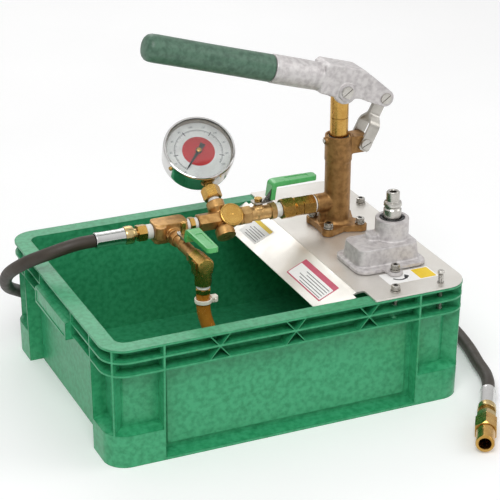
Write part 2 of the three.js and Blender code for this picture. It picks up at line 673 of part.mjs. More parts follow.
function makePumpBody() {
  const foot = plateTop + fit.gap;
  const half = pump.boltSpacing / 2;
  const below = plateTop - plate.thickness - pump.spigotLength;
  const outletLength = pump.x - pump.outletEnd;
  const outlet = (diameter, from, to, count) => facing(cylinder(diameter, from, to, count), LEFT, [0, 0, pipe.z]);
  const lugEdge = lugPin.x - pump.x;
  const lugRound = pump.lugEnd - lugPin.x;
  const lugMiddle = (pump.lugBottom + pump.lugTop) / 2;
  const lug = join(
    slab(0, lugEdge, -pump.lugHalfWidth, pump.lugHalfWidth, pump.lugBottom, pump.lugTop),
    sideways(arcPoints(lugEdge, lugMiddle, lugRound, -90, 90, sides.corner), -pump.lugHalfWidth, pump.lugHalfWidth),
  );
  const casting = join(
    prism(flangeOutline(), foot, foot + pump.flange),
    cylinder(pump.spigot, below, foot + fit.overrun),
    cylinder(pump.barrel, foot, pump.top - fit.overrun, sides.large),
    cylinder(pump.collar, pump.collarBottom, pump.top, sides.large),
    outlet(pump.outletBoss, 0, outletLength),
    slab(-outletLength + pump.ribInset, -outletLength + pump.ribInset + pump.ribLength,
      -pump.ribWidth / 2, pump.ribWidth / 2, foot, pipe.z),
    lug,
    facing(cylinder(pump.lockScrew, 0, pump.collar / 2 + pump.lockScrewProud, sides.small), LEFT,
      [0, 0, pump.top - pump.lockScrew]),
  );
  const slack = lugPin.slotSlack;
  const slotRadius = lugPin.diameter / 2 + fit.gap;
  const slot = [
    ...arcPoints(lugEdge + slack, lugPin.z, slotRadius, -90, 90, sides.corner),
    ...arcPoints(lugEdge - slack, lugPin.z, slotRadius, 90, 270, sides.corner),
  ];
  const boltHoles = [[-1, -1], [1, -1], [1, 1], [-1, 1]].map(([sx, sy]) => {
    const [z0, z1] = [foot - fit.overrun, foot + pump.flange + fit.overrun];
    return at(cylinder(screw.shank + 2 * fit.gap, z0, z1, sides.small), sx * half, sy * half);
  });
  const body = cut(
    casting,
    cylinder(pump.bore, below - fit.overrun, pump.top + fit.overrun, sides.medium),
    cylinder(pump.glandBore, pump.top - pump.glandDepth - pump.glandSink, pump.top + fit.overrun),
    outlet(pump.passage, 0, outletLength + fit.overrun, sides.small),
    outlet(adapter.male + fit.thread, outletLength - adapter.maleLength - fit.gap, outletLength + fit.overrun),
    sideways(slot, -pump.collar, pump.collar),
    ...boltHoles,
  );
  add('pump_body', at(body, pump.x, pump.y), 'bronze');
}

function makeGlandAndPlunger() {
  const top = pump.top - pump.glandSink;
  const floor = pump.top - pump.glandDepth - pump.glandSink + fit.gap;
  const gland = ring(pump.glandBore - 2 * fit.gap, plunger.diameter + 2 * fit.running, floor, top);
  add('gland_ring', at(gland, pump.x, pump.y), 'bronze');

  const radius = plunger.diameter / 2;
  const column = cylinder(plunger.diameter, plunger.bottom, forkPin.z + radius);
  const roof = join(
    facing(cylinder(plunger.diameter, -radius, radius), FRONT, [0, 0, forkPin.z]),
    slab(-radius, radius, -radius, radius, plunger.bottom, forkPin.z),
  );
  const rod = cut(
    common(column, roof),
    ring(plunger.diameter + fit.overrun, plunger.diameter - 2 * plunger.groove,
      plunger.grooveZ - plunger.grooveHeight / 2, plunger.grooveZ + plunger.grooveHeight / 2),
    facing(cylinder(forkPin.diameter + 2 * fit.running, -plunger.diameter, plunger.diameter), FRONT,
      [0, 0, forkPin.z]),
  );
  add('plunger_rod', at(rod, pump.x, pump.y), 'brass');
}

function makeFootValve() {
  const v = footValve;
  const top = plateTop - v.drop;
  const bottom = top - v.height;
  const upper = top + fit.overrun;
  const body = cut(
    join(cylinder(v.diameter, bottom, top), cylinder(pump.bore - 2 * fit.gap, bottom, upper)),
    cylinder(v.chamber, bottom + v.ball / 2, upper + fit.overrun),
    cylinder(v.seat, bottom - fit.overrun, upper + fit.overrun, sides.small),
  );
  add('foot_valve_body', at(body, pump.x, pump.y), 'bronze');
  const seatDepth = Math.sqrt((v.ball / 2) ** 2 - (v.seat / 2) ** 2);
  const ballZ = bottom + v.ball / 2 + seatDepth + fit.gap;
  add('foot_valve_ball', at(ball(v.ball), pump.x, pump.y, ballZ), 'steel');

  const cupTop = bottom - fit.gap;
  const ro = v.strainer / 2;
  const ri = ro - v.strainerWall;
  const floorTop = v.strainerBottom + v.strainerWall;
  const cup = turned([[0, v.strainerBottom], [ro, v.strainerBottom], [ro, cupTop], [ri, cupTop], [ri, floorTop],
    [0, floorTop]]);
  const slots = [];
  const slotFoot = floorTop + v.slotWidth;
  for (let k = 0; k < v.slots / 2; k += 1) {
    const slot = slab(-v.strainer, v.strainer, -v.slotWidth / 2, v.slotWidth / 2, slotFoot, slotFoot + v.slotHeight);
    slots.push(slot.rotateZ((k * 2 * Math.PI) / v.slots));
  }
  add('suction_strainer', at(cut(cup, ...slots), pump.x, pump.y), 'stainless');
}

// Pipe run

// Turns a piece built along +Z to lie on the pipe run, starting at a place in X.
function along(shape, place) {
  return facing(shape, RIGHT, [place, pump.y, pipe.z]);
}

function makeOutletPieces() {
  const a = adapter;
  const length = a.right - a.left;
  const adapterBody = cut(
    join(
      hexagon(a.flats, 0, length),
      cylinder(a.tape, length - fit.gap, pump.outletEnd - a.left - fit.gap),
      cylinder(a.male, 0, length + a.maleLength),
    ),
    cylinder(nipple.male + fit.thread, -fit.overrun, a.socketDepth),
    cylinder(nipple.bore, 0, length + a.maleLength + fit.overrun, sides.small),
  );
  add('outlet_adapter', along(adapterBody, a.left), 'brass');

  const n = nipple;
  const start = mainValve.right - n.intoValve - n.left;
  const end = n.right - n.left;
  const nippleBody = cut(
    join(hexagon(n.flats, 0, end), cylinder(n.male, start, end + n.reach)),
    cylinder(n.bore, start - fit.overrun, end + n.reach + fit.overrun, sides.small),
  );
  add('valve_nipple', along(nippleBody, n.left), 'brass');
}

// A ball valve body along +Z with its stem towards -X, its larger hexagonal end at zero.
function valveBody(v, length, stemPlace) {
  const neck = facing(cylinder(v.neck, 0, v.neckTop, sides.small), LEFT, [0, 0, stemPlace]);
  const stemRoom = cylinder(v.stem + 2 * fit.gap, 0, v.neckTop + fit.overrun, sides.small);
  const casting = join(
    cylinder(v.barrel, 0, length),
    hexagon(v.flats, 0, v.hexLength),
    hexagon(v.endFlats, length - v.endLength, length),
    neck,
  );
  return cut(
    casting,
    cylinder(v.bore, -fit.overrun, length + fit.overrun, sides.small),
    ball(v.ball + 2 * fit.ballPlay).translate(0, 0, stemPlace),
    facing(stemRoom, LEFT, [0, 0, stemPlace]),
  );
}

// The ball, stem and lever nut of a valve, turning about +Z, with its bore along X.
function valveStem(v, leverTop) {
  const body = join(
    ball(v.ball),
    cylinder(v.stem, 0, v.nutTop, sides.small),
    hexagon(v.nutFlats, leverTop + fit.gap, v.nutTop - fit.gap),
  );
  return cut(body, facing(cylinder(v.bore, -v.ball, v.ball, sides.small), RIGHT, [0, 0, 0]));
}

// The plan of a lever: straight sides drawn in towards a rounded tip.
function leverPlan(x0, x1, half, z1) {
  const tipHalf = half * lever.tipShare;
  const r = lever.endRadius;
  const tip = [
    ...arcPoints(x1 - r, -tipHalf + r, r, -90, 0, sides.corner),
    ...arcPoints(x1 - r, tipHalf - r, r, 0, 90, sides.corner),
  ];
  return prism([[x0, half], [x0, -half], [0, -half], ...tip, [0, half]], 0, z1);
}

// The path of a lever strip along its lower face, from behind its stem to its tip.
function leverPath(size, z0, tip) {
  const top = z0 + size.rise;
  return [[-lever.back, z0], [size.foot, z0], [size.foot + size.kneeRun, top], [tip, top]];
}

function leverArm(size, v) {
  const z0 = v.neckTop + size.base;
  const tip = size.tip - lever.sleeve - fit.gap;
  const half = lever.width / 2;
  const strip = sideways(stripOutline(leverPath(size, z0, tip), lever.strip), -half, half);
  const shaped = common(strip, leverPlan(-lever.back, tip, half, tank.height));
  return cut(shaped, cylinder(v.stem + 2 * fit.gap, 0, z0 + size.rise, sides.small));
}

// The vinyl sleeve over the rise and the arm of a lever, hollow and open at its foot.
function leverSleeve(size, v) {
  const z0 = v.neckTop + size.base;
  const half = lever.width / 2 + fit.gap;
  const [, foot, knee, tip] = leverPath(size, z0, size.tip);
  const start = [0, 1].map((k) => foot[k] + lever.coverShare * (knee[k] - foot[k]));
  const out = lever.sleeve + fit.gap;
  const skin = stripOutline(offsetPath([start, knee, tip], -out), lever.strip + 2 * out);
  const solid = common(
    sideways(skin, -half - lever.sleeve, half + lever.sleeve),
    leverPlan(-lever.back, size.tip, half + lever.sleeve, tank.height),
  );
  const room = stripOutline(offsetPath(leverPath(size, z0, size.tip), -fit.gap), lever.strip + 2 * fit.gap);
  const pocket = common(
    sideways(room, -half, half),
    leverPlan(-lever.back, size.tip - lever.sleeve, half, tank.height),
  );
  return cut(solid, pocket);
}

// The turning set of a valve: stem, lever and sleeve, with the lever towards +X.
function addLeverSet(name, v, size, group) {
  model.add(group);
  const leverTop = v.neckTop + size.base + lever.strip;
  add(`${name}_valve_stem`, valveStem(v, leverTop), 'brass', group);
  add(`${name}_valve_lever`, leverArm(size, v), 'steel', group);
  add(`${name}_lever_sleeve`, leverSleeve(size, v), 'vinylGreen', group);
}

function makeMainValve() {
  const v = mainValve;
  const length = v.right - v.left;
  const body = cut(
    valveBody(v, length, v.stemX - v.left),
    cylinder(nipple.male + fit.thread, length - nipple.intoValve - fit.gap, length + fit.overrun),
    cylinder(v.socket, -fit.overrun, v.socketDepth),
  );
  add('main_valve_body', along(body, v.left), 'bronze');
  const group = new THREE.Group();
  group.position.set(v.stemX, pump.y, pipe.z);
  addLeverSet('main', v, mainLever, group);
}

function makeDrainValve() {
  const v = drainValve;
  const length = v.front - v.back;
  const casting = valveBody(v, length, v.front - v.stemY);
  const body = cut(
    join(casting, cylinder(v.male, -v.reach, fit.overrun)),
    cylinder(v.bore, -v.reach - fit.overrun, length, sides.small),
    cylinder(elbow.male + fit.thread, length - elbow.reach - fit.gap, length + fit.overrun),
  );
  body.rotateY(QUARTER_TURN).rotateZ(-QUARTER_TURN);
  add('drain_valve_body', body.translate(v.x, v.front, drain.z), 'bronze');
  const group = new THREE.Group();
  group.position.set(v.x, v.stemY, drain.z);
  group.rotation.z = -QUARTER_TURN;
  addLeverSet('drain', v, drainLever, group);
}

// Check valve

// A boss that is slim at the pipe and flares to its full size.
function flaredBoss(diameter, top) {
  const c = checkValve;
  const slim = (diameter * c.neckShare) / 2;
  const full = diameter / 2;
  return turned([[0, 0], [slim, 0], [slim, c.flareStart], [full, c.flareEnd], [full, top], [0, top]]);
}

function makeCheckValve() {
  const c = checkValve;
  const place = (shape, direction, x) => facing(shape, direction, [x, 0, 0]);
  const roll = THREE.MathUtils.degToRad(c.armRoll);
  const gaugeDown = GAUGE_UP.clone().negate();
  const casting = join(
    place(hexagon(c.armFlats, 0, c.armRight - c.armLeft, roll), RIGHT, c.armLeft),
    place(cylinder(c.body, 0, c.right - c.armRight), RIGHT, c.armRight),
    place(cylinder(c.male, 0, c.right - c.x + c.maleReach), RIGHT, c.x),
    ball(c.ball).translate(c.x, 0, 0),
    place(cylinder(c.seatRing, 0, c.capFoot - fit.gap), CAP_OUT, c.x),
    place(flaredBoss(c.gaugeBoss, c.gaugeBossTop), GAUGE_UP, c.gaugeX),
    place(flaredBoss(c.plug, c.plugBottom), gaugeDown, c.gaugeX),
  );
  const body = cut(
    casting,
    place(cylinder(c.bore, -tank.length, tank.length, sides.small), RIGHT, 0),
    place(cylinder(c.armSocket, -fit.overrun, c.armSocketDepth), RIGHT, c.armLeft),
    place(cylinder(c.chamber, c.chamberFloor, c.capTop), CAP_OUT, c.x),
    place(cylinder(c.bore, 0, c.capTop, sides.small), CAP_OUT, c.x),
    place(cylinder(c.cap + 2 * fit.gap, c.capFoot - fit.gap, c.cap, sides.large), CAP_OUT, c.x),
    place(cylinder(gauge.thread + fit.thread, gauge.threadStart - fit.gap, c.plug + c.capTop), GAUGE_UP, c.gaugeX),
    place(cylinder(gauge.bore, 0, gauge.threadStart, sides.small), GAUGE_UP, c.gaugeX),
  );
  add('check_valve_body', body.translate(0, pump.y, pipe.z), 'bronze');

  const capRadius = c.cap / 2;
  const cap = turned([[0, c.capFoot], [capRadius, c.capFoot], [capRadius, c.capTop - c.capBevel],
    [capRadius - c.capBevel, c.capTop], [0, c.capTop]], sides.large);
  add('check_cap', place(cap, CAP_OUT, c.x).translate(0, pump.y, pipe.z), 'brass');
  const poppetFoot = c.chamberFloor + fit.gap;
  const poppet = cylinder(c.poppet, poppetFoot, poppetFoot + c.poppetHeight);
  add('check_poppet', place(poppet, CAP_OUT, c.x).translate(0, pump.y, pipe.z), 'brass');
}

// Tee and manifold

function makeTeeNipple() {
  const t = teeNipple;
  const length = t.right - t.left;
  const middle = length / 2;
  const body = cut(
    join(
      cylinder(t.male, -t.reach, length + t.reach),
      cylinder(t.tape, 0, length),
      hexagon(t.flats, middle - t.hexLength / 2, middle + t.hexLength / 2),
    ),
    cylinder(t.bore, -t.reach - fit.overrun, length + t.reach + fit.overrun, sides.small),
  );
  add('tee_nipple', along(body, t.left), 'brass');
}

function makeManifold() {
  const m = manifold;
  const length = m.right - m.left;
  const width = m.back - m.front;
  const [x, y] = [(m.left + m.right) / 2, (m.back + m.front) / 2];
  const block = at(prism(roundedOutline(length, width, m.cornerRadius), m.bottom, m.top), x, y);
  const boreAlong = (diameter, from, to) => along(cylinder(diameter, 0, to - from), from);
  const front = (diameter, from, to) => facing(cylinder(diameter, from, to), FRONT, [drainValve.x, pump.y, drain.z]);
  const face = pump.y - m.front;
  const body = cut(
    join(
      block,
      at(cylinder(m.column, m.columnBottom, m.columnTop), m.columnX, m.columnY),
      front(m.port, 0, face + m.portProud),
    ),
    boreAlong(m.bore, m.left - fit.overrun, m.right + fit.overrun),
    boreAlong(teeNipple.male + fit.thread, m.right - teeNipple.reach - fit.gap, m.right + fit.overrun),
    boreAlong(hoseAdapter.male + fit.thread, m.left - fit.overrun, m.left + hoseAdapter.reach + fit.gap),
    front(m.bore, 0, width),
    front(drainValve.male + fit.thread, pump.y - drainValve.front - drainValve.reach - fit.gap, width),
  );
  add('manifold', body, 'bronze');
}

// Drain elbow, barb, tie and tube

function makeDrainElbow() {
  const e = elbow;
  const reachBack = e.front - e.y;
  const horizontal = facing(
    join(
      hexagon(e.flats, 0, e.front - e.face, Math.PI / sides.hex),
      cylinder(e.male, -e.reach, fit.overrun),
    ),
    FRONT, [0, e.front, drain.z],
  );
  const leg = common(
    at(hexagon(e.legFlats, e.legBottom, drain.z), 0, e.y),
    slab(-e.legFlats, e.legFlats, e.face, e.front, e.legBottom, drain.z),
  );
  const pads = slab(-e.padHalf, e.padHalf, e.padBack, e.padFront, e.padBottom, e.padTop);
  const between = e.padHalf - e.padThickness;
  const body = cut(
    join(
      horizontal,
      leg,
      cut(pads, slab(-between, between, e.face, e.front, e.legBottom, tank.height + e.padTop)),
    ),
    facing(cylinder(e.bore, -e.reach - fit.overrun, reachBack, sides.small), FRONT, [0, e.front, drain.z]),
    at(cylinder(e.bore, e.legBottom - fit.overrun, drain.z, sides.small), 0, e.y),
    at(cylinder(barb.male + fit.thread, e.legBottom - fit.overrun, e.legBottom + barb.reach + fit.gap), 0, e.y),
  );
  add('drain_elbow', body.translate(drainValve.x, 0, 0), 'brass');
}

function makeBarbAndTube() {
  const b = barb;
  const seat = elbow.legBottom - fit.gap;
  const body = cut(
    join(
      cylinder(b.male, b.tapeBottom, seat + b.reach),
      cylinder(b.tape, b.tapeBottom, seat),
      hexagon(b.flats, b.hexBottom, b.tapeBottom + fit.gap),
      cylinder(b.stem, b.stemBottom, b.hexBottom + fit.overrun),
    ),
    cylinder(b.bore, b.stemBottom - fit.overrun, seat + b.reach + fit.overrun, sides.small),
  );
  add('hose_barb', at(body, drainValve.x, elbow.y), 'brass');

  const inner = drainTube.outer + 2 * fit.gap;
  const outer = inner + 2 * tie.thickness;
  const [z0, z1] = [tie.z - tie.height / 2, tie.z + tie.height / 2];
  const headStart = inner / 2 + tie.thickness / 2;
  const head = slab(headStart, headStart + tie.headLength, -tie.headWidth / 2, tie.headWidth / 2,
    tie.z - tie.headHeight / 2, tie.z + tie.headHeight / 2);
  const band = cut(join(cylinder(outer, z0, z1), head), cylinder(inner, z0 - tie.headHeight, z1 + tie.headHeight));
  add('cable_tie', at(band, drainValve.x, elbow.y), 'nylon');
}

// A smooth curve through the points of a free route.
function routeCurve(route) {
  return new THREE.CatmullRomCurve3(route.map((p) => new THREE.Vector3(...p)), false, 'centripetal');
}

function circleOutline(diameter, count) {
  return arcPoints(0, 0, diameter / 2, 0, 360 - 360 / count, count - 1);
}

function makeDrainTube() {
  const section = outlineShape(circleOutline(drainTube.outer, sides.hose));
  const hole = circleOutline(drainTube.bore, sides.hose).reverse().map(([x, y]) => new THREE.Vector2(x, y));
  section.holes.push(new THREE.Path(hole));
  const path = routeCurve(drainRoute);
  const tube = new THREE.ExtrudeGeometry(section, { steps: drainTube.steps, extrudePath: path });
  add('drain_tube', toShape(toSolid(tube)), 'amber');
}

// Gauge

// The frame of the gauge: its dial faces +Z, its top is +Y.
function gaugeGroup() {
  const yaw = THREE.MathUtils.degToRad(gauge.yaw);
  const normal = GAUGE_OUT.clone().applyAxisAngle(GAUGE_UP, yaw);
  const right = GAUGE_UP.clone().cross(normal);
  const group = new THREE.Group();
  group.quaternion.setFromRotationMatrix(new THREE.Matrix4().makeBasis(right, GAUGE_UP, normal));
  group.position.set(checkValve.gaugeX, pump.y, pipe.z).addScaledVector(GAUGE_UP, gaugeReach);
  model.add(group);
  return group;
}

function makeGaugeStem() {
  const g = gauge;
  const neckEnd = caseFoot + g.neckInCase;
  const body = cut(
    join(
      cylinder(g.thread, g.threadStart, g.stemSeat + fit.overrun),
      cylinder(g.tape, g.stemSeat, g.hexStart + fit.gap),
      hexagon(g.hexFlats, g.hexStart, g.hexEnd),
      cylinder(g.neck, g.hexEnd - fit.gap, neckEnd),
    ),
    cylinder(g.bore, g.threadStart - fit.overrun, neckEnd + fit.overrun, sides.small),
  );
  add('gauge_stem', facing(body, GAUGE_UP, [checkValve.gaugeX, pump.y, pipe.z]), 'brass');
}

function makeGaugeHead() {
  const g = gauge;
  const group = gaugeGroup();
  const outer = g.diameter / 2;
  const inner = outer - g.wall;
  const floor = g.back + g.wall;
  const cup = turned([[0, g.back], [outer, g.back], [outer, g.front], [inner, g.front], [inner, floor],
    [0, floor]], sides.large);
  const neckHole = facing(cylinder(g.neck + 2 * fit.gap, 0, g.diameter), new THREE.Vector3(0, -1, 0), [0, 0, 0]);
  add('gauge_case', cut(cup, neckHole), 'chrome', group);

  const rim = outer + g.bezelProud;
  const opening = outer - g.bezelOver;
  const sleeve = outer + fit.gap;
  const lip = g.bezelFront - g.bezelLip;
  const bezel = turned([[sleeve, g.bezelBack], [rim, g.bezelBack], [rim, g.bezelFront],
    [opening, g.bezelFront], [opening, lip], [sleeve, lip], [sleeve, g.bezelBack]], sides.large);
  add('gauge_bezel', bezel, 'chrome', group);

  add('gauge_lens', cylinder(g.diameter, g.front + fit.gap, lip - fit.gap, sides.large), 'glass', group);
  const dialSize = 2 * (inner - fit.gap);
  const dial = ring(dialSize, g.arborHole, g.dialTop - g.dialThickness, g.dialTop, sides.large);
  add('gauge_dial', dial, 'dialWhite', group);
  addPointer(group);
}

function addPointer(group) {
  const g = gauge;
  const top = g.pointerBottom + g.pointerThickness;
  const arm = prism([
    [-g.pointerTail, -g.tailWidth / 2], [0, -g.pointerWidth / 2], [g.pointerLength, 0], [0, g.pointerWidth / 2],
    [-g.pointerTail, g.tailWidth / 2],
  ], g.pointerBottom, top);
  const body = join(arm, cylinder(g.hub, g.pointerBottom, g.hubTop, sides.small),
    cylinder(g.arbor, g.arborBottom, g.hubTop, sides.small));
  body.rotateZ(THREE.MathUtils.degToRad(g.pointerZero));
  add('gauge_pointer', body, 'black', group);
}

// Pressure hose and its ends

function makeHoseFittings() {
  const a = hoseAdapter;
  const length = a.right - a.left;
  const neckEnd = a.tapeRight - a.left;
  const adapterBody = cut(
    join(
      hexagon(a.flats, 0, length),
      cylinder(a.tape, length - fit.gap, neckEnd),
      cylinder(a.male, 0, manifold.left - a.left + a.reach),
      cylinder(a.seat, -a.seatReach, fit.overrun),
    ),
    cylinder(hose.bore, -a.seatReach - fit.overrun, manifold.left - a.left + a.reach + fit.overrun, sides.small),
  );
  add('hose_adapter', along(adapterBody, a.left), 'brass');

  const h = hoseFitting;
  const collarStart = h.collarLeft - h.left;
  const collarEnd = h.collarRight - h.left;
  const total = h.neckRight - h.left;
  const fitting = cut(
    join(
      cylinder(hose.ferrule, 0, collarStart + fit.gap),
      cylinder(h.collar, collarStart, collarEnd),
      cylinder(h.neck, collarEnd - fit.gap, total),
    ),
    cylinder(hose.bore, -fit.overrun, total + fit.overrun, sides.small),
    cylinder(a.seat + 2 * fit.gap, total - h.seatDepth, total + fit.overrun),
  );
  add('hose_fitting', along(fitting, h.left), 'chrome');
}

function makePressureHose() {
  const section = outlineShape(circleOutline(hose.diameter, sides.hose));
  const path = routeCurve(hoseRoute);
  const tube = new THREE.ExtrudeGeometry(section, { steps: hose.steps, extrudePath: path });
  add('pressure_hose', toShape(toSolid(tube)), 'rubber');
}

function makeHoseEnd() {
  const e = endFitting;
  const direction = new THREE.Vector3(e.endX - e.startX, e.endY - e.startY, 0);
  const total = direction.length();
  const turn = Math.atan2(direction.y, direction.x);
  const laid = (shape) => facing(shape, RIGHT, [0, 0, 0]).rotateZ(turn).translate(e.startX, e.startY, e.z);
  const fitting = cut(
    join(
      cylinder(hose.ferrule, 0, e.ferruleLength + fit.gap),
      cylinder(e.collar, e.ferruleLength, e.collarEnd),
      cylinder(e.neck, e.collarEnd - fit.gap, e.nutStart + fit.gap),
      hexagon(e.nutFlats, e.nutStart, e.nutEnd),
    ),
    cylinder(hose.bore, -fit.overrun, e.nutEnd + fit.overrun, sides.small),
    cylinder(endAdapter.male + fit.thread, e.nutEnd - endAdapter.maleReach - fit.gap, e.nutEnd + fit.overrun),
  );
  add('end_fitting', laid(fitting), 'chrome');

  const n = endAdapter;
  const tip = cut(
    join(
      cylinder(n.male, n.start - n.maleReach, n.start + fit.overrun, sides.small),
      hexagon(n.flats, n.start, n.hexEnd),
      cone(n.nose, n.noseEnd, n.hexEnd - fit.gap, total),
    ),
    cylinder(hose.bore, n.start - n.maleReach - fit.overrun, total, sides.small),
    cylinder(n.bore, n.start + n.maleReach, total + fit.overrun),
  );
  add('end_adapter', laid(tip), 'brass');
}

// Drill-driven filling pump

const gearRun = [gearCase.towerX - gearCase.idlerX, gearCase.towerY - gearCase.idlerY];
const gearPitch = Math.hypot(...gearRun) / 2;
const gearLine = Math.atan2(gearRun[1], gearRun[0]);
const gearFoot = plateTop + fit.gap;

// The toothed outline of a gear, with a tooth on +X, or a gap when it is turned by half a pitch.
function gearOutline(turn) {
  const pitch = 360 / gear.teeth;
  const radii = [gear.rootShare * gearPitch, gearPitch, gear.tipShare * gearPitch];
  const points = [];
  for (let tooth = 0; tooth < gear.teeth; tooth += 1) {
    const corners = [
      ...gear.toothShares.map((share, k) => [radii[k], -share]),
      ...gear.toothShares.map((share, k) => [radii[k], share]).reverse(),
    ];
    corners.forEach(([radius, share]) => {
      const angle = THREE.MathUtils.degToRad((tooth + turn + share) * pitch);
      points.push([radius * Math.cos(angle), radius * Math.sin(angle)]);
    });
  }
  return points;
}

function makeGearCase() {
  const c = gearCase;
  const foot = plateTop + fit.gap;
  const flangeTop = foot + c.flange;
  const low = roundedOutline(c.boxLength, c.boxWidth, c.boxRadius);
  const high = roundedOutline(c.boxLength - c.boxTaper, c.boxWidth - c.boxTaper, c.boxRadius - c.boxTaper / 2);
  const earTop = c.y - c.flangeWidth / 2 + c.earRadius;
  const tower = [c.towerX, c.towerY];
  const idler = [c.idlerX, c.idlerY];
  const upright = (diameter, z0, z1, place, count) => at(cylinder(diameter, z0, z1, count), ...place);
  const chamber = 2 * (gear.tipShare * gearPitch + c.chamberPlay);
  const body = cut(
    join(
      at(prism(roundedOutline(c.flangeLength, c.flangeWidth, c.flangeRadius), foot, flangeTop), c.x, c.y),
      at(cylinder(2 * c.earRadius, foot, flangeTop), c.earX, c.earY),
      slab(c.earX - c.earRadius, c.earX + c.earRadius, c.earY, earTop, foot, flangeTop),
      at(drafted(low, high, foot, c.boxTop), c.x, c.y),
      upright(c.tower, foot, c.towerTop, tower, sides.large),
      upright(c.idlerBoss, foot, c.idlerBossTop, idler),
    ),
    upright(chamber, foot - fit.overrun, c.chamberTop, tower),
    upright(chamber, foot - fit.overrun, c.chamberTop, idler),
    upright(shaft.diameter + 2 * fit.running, foot, c.towerTop + fit.overrun, tower),
    upright(c.towerBore, c.bearingFloor, c.towerTop + fit.overrun, tower),
    upright(gear.journal + 2 * fit.running, foot, c.idlerHoleTop, idler, sides.small),
    at(cylinder(screw.shank + 2 * fit.gap, foot - fit.overrun, flangeTop + fit.overrun, sides.small), c.earX, c.earY),
  );
  add('gear_case', body, 'castAluminium');
}

function makeGearCover() {
  const c = gearCover;
  const seat = plateTop - plate.thickness - fit.gap;
  const plugOutline = roundedOutline(c.length * c.plugShare, c.width * c.plugShare, c.radius, sides.corner / 2);
  const inletFoot = seat - c.thickness - c.inletDrop;
  const holeFoot = plateTop - c.holeDepth;
  const journal = (diameter, x, y) => at(cylinder(diameter + 2 * fit.running, holeFoot, gearFoot), x, y);
  const body = cut(
    join(
      at(prism(roundedOutline(c.length, c.width, c.radius, sides.corner / 2), seat - c.thickness, seat),
        gearCase.x, gearCase.y),
      at(prism(plugOutline, seat - fit.gap, plateTop), gearCase.x, gearCase.y),
      at(cylinder(c.inlet, inletFoot, seat), gearCase.x, gearCase.y),
    ),
    journal(shaft.foot, gearCase.towerX, gearCase.towerY),
    journal(gear.journal, gearCase.idlerX, gearCase.idlerY),
    at(cylinder(c.inletBore, inletFoot - fit.overrun, holeFoot - fit.overrun, sides.small), gearCase.x, gearCase.y),
  );
  add('gear_cover', body, 'castAluminium');
}

function makeShaftAndGears() {
  const top = gearFoot + gear.height;
  const shaftFoot = plateTop - gearCover.holeDepth + fit.gap;
  const body = cut(
    join(
      cylinder(shaft.foot, shaftFoot, top + fit.overrun),
      cylinder(shaft.diameter, top + fit.gap, shaft.step),
      cylinder(shaft.tip, shaft.step - fit.overrun, shaft.top),
    ),
    hexagon(shaft.socket, shaft.top - shaft.socketDepth, shaft.top + fit.overrun),
  );
  add('drive_shaft', at(body, gearCase.towerX, gearCase.towerY), 'steel');

  const bearingBody = ring(gearCase.towerBore - 2 * fit.gap, shaft.diameter + 2 * fit.running,
    gearCase.bearingFloor + fit.gap, gearCase.towerTop - bearing.sink);
  add('bearing', at(bearingBody, gearCase.towerX, gearCase.towerY), 'steel');

  const driveGear = cut(prism(gearOutline(0), gearFoot, top).rotateZ(gearLine),
    cylinder(shaft.foot + 2 * fit.gap, gearFoot - fit.overrun, top + fit.overrun));
  add('drive_gear', at(driveGear, gearCase.towerX, gearCase.towerY), 'steel');

  const idlerTop = gearCase.idlerHoleTop - fit.gap;
  const idler = join(prism(gearOutline(1 / 2), gearFoot, top).rotateZ(gearLine),
    cylinder(gear.journal, shaftFoot, idlerTop, sides.small));
  add('idler_gear', at(idler, gearCase.idlerX, gearCase.idlerY), 'steel');
}

// Handle and links

// A pin along Y with a head on each end.
function headedPin(diameter, reach) {
  const head = reach + pinHead.proud;
  const wide = diameter + 2 * pinHead.rim;
  const body = join(
    cylinder(diameter, -head, head, sides.small),
    cylinder(wide, -head, -reach - fit.gap, sides.medium),
    cylinder(wide, reach + fit.gap, head, sides.medium),
  );
  return facing(body, FRONT, [0, 0, 0]);
}

// Where a pin of the pump plane lies in the tilted frame of the handle.
function inHandle(pin) {
  const tilt = THREE.MathUtils.degToRad(handle.tilt);
  const [dx, dz] = [pin.x - forkPin.x, pin.z - forkPin.z];
  return [dx * Math.cos(tilt) - dz * Math.sin(tilt), dx * Math.sin(tilt) + dz * Math.cos(tilt)];
}

function handleHead() {
  const h = handle;
  const seam = h.axisHeight - h.socket / 2;
  return sideways([
    [h.headLeft, seam], ...arcPoints(0, 0, h.headRadius, h.headFrom, h.headTo, sides.corner),
    [h.headRight, -h.headFall], [h.headRight - fit.overrun, h.headShoulder], [h.headCrown, h.headTop],
    [h.headLeft + h.headCorner, h.headTop], [h.headLeft, h.axisHeight + h.socket / 2],
  ], -h.forkHalfWidth, h.forkHalfWidth);
}

function handleTail([bx, bz]) {
  const h = handle;
  return sideways([
    [h.tailFoot, -h.tailLow], [bx - h.tailWaist, -h.tailUnder],
    ...arcPoints(bx, bz, h.tailRadius, h.tailFrom, h.tailTo, sides.corner),
    [bx - h.tailShoulder, h.tailDrop], [h.tailFoot, h.tailTop],
  ], -h.tailHalfWidth, h.tailHalfWidth);
}

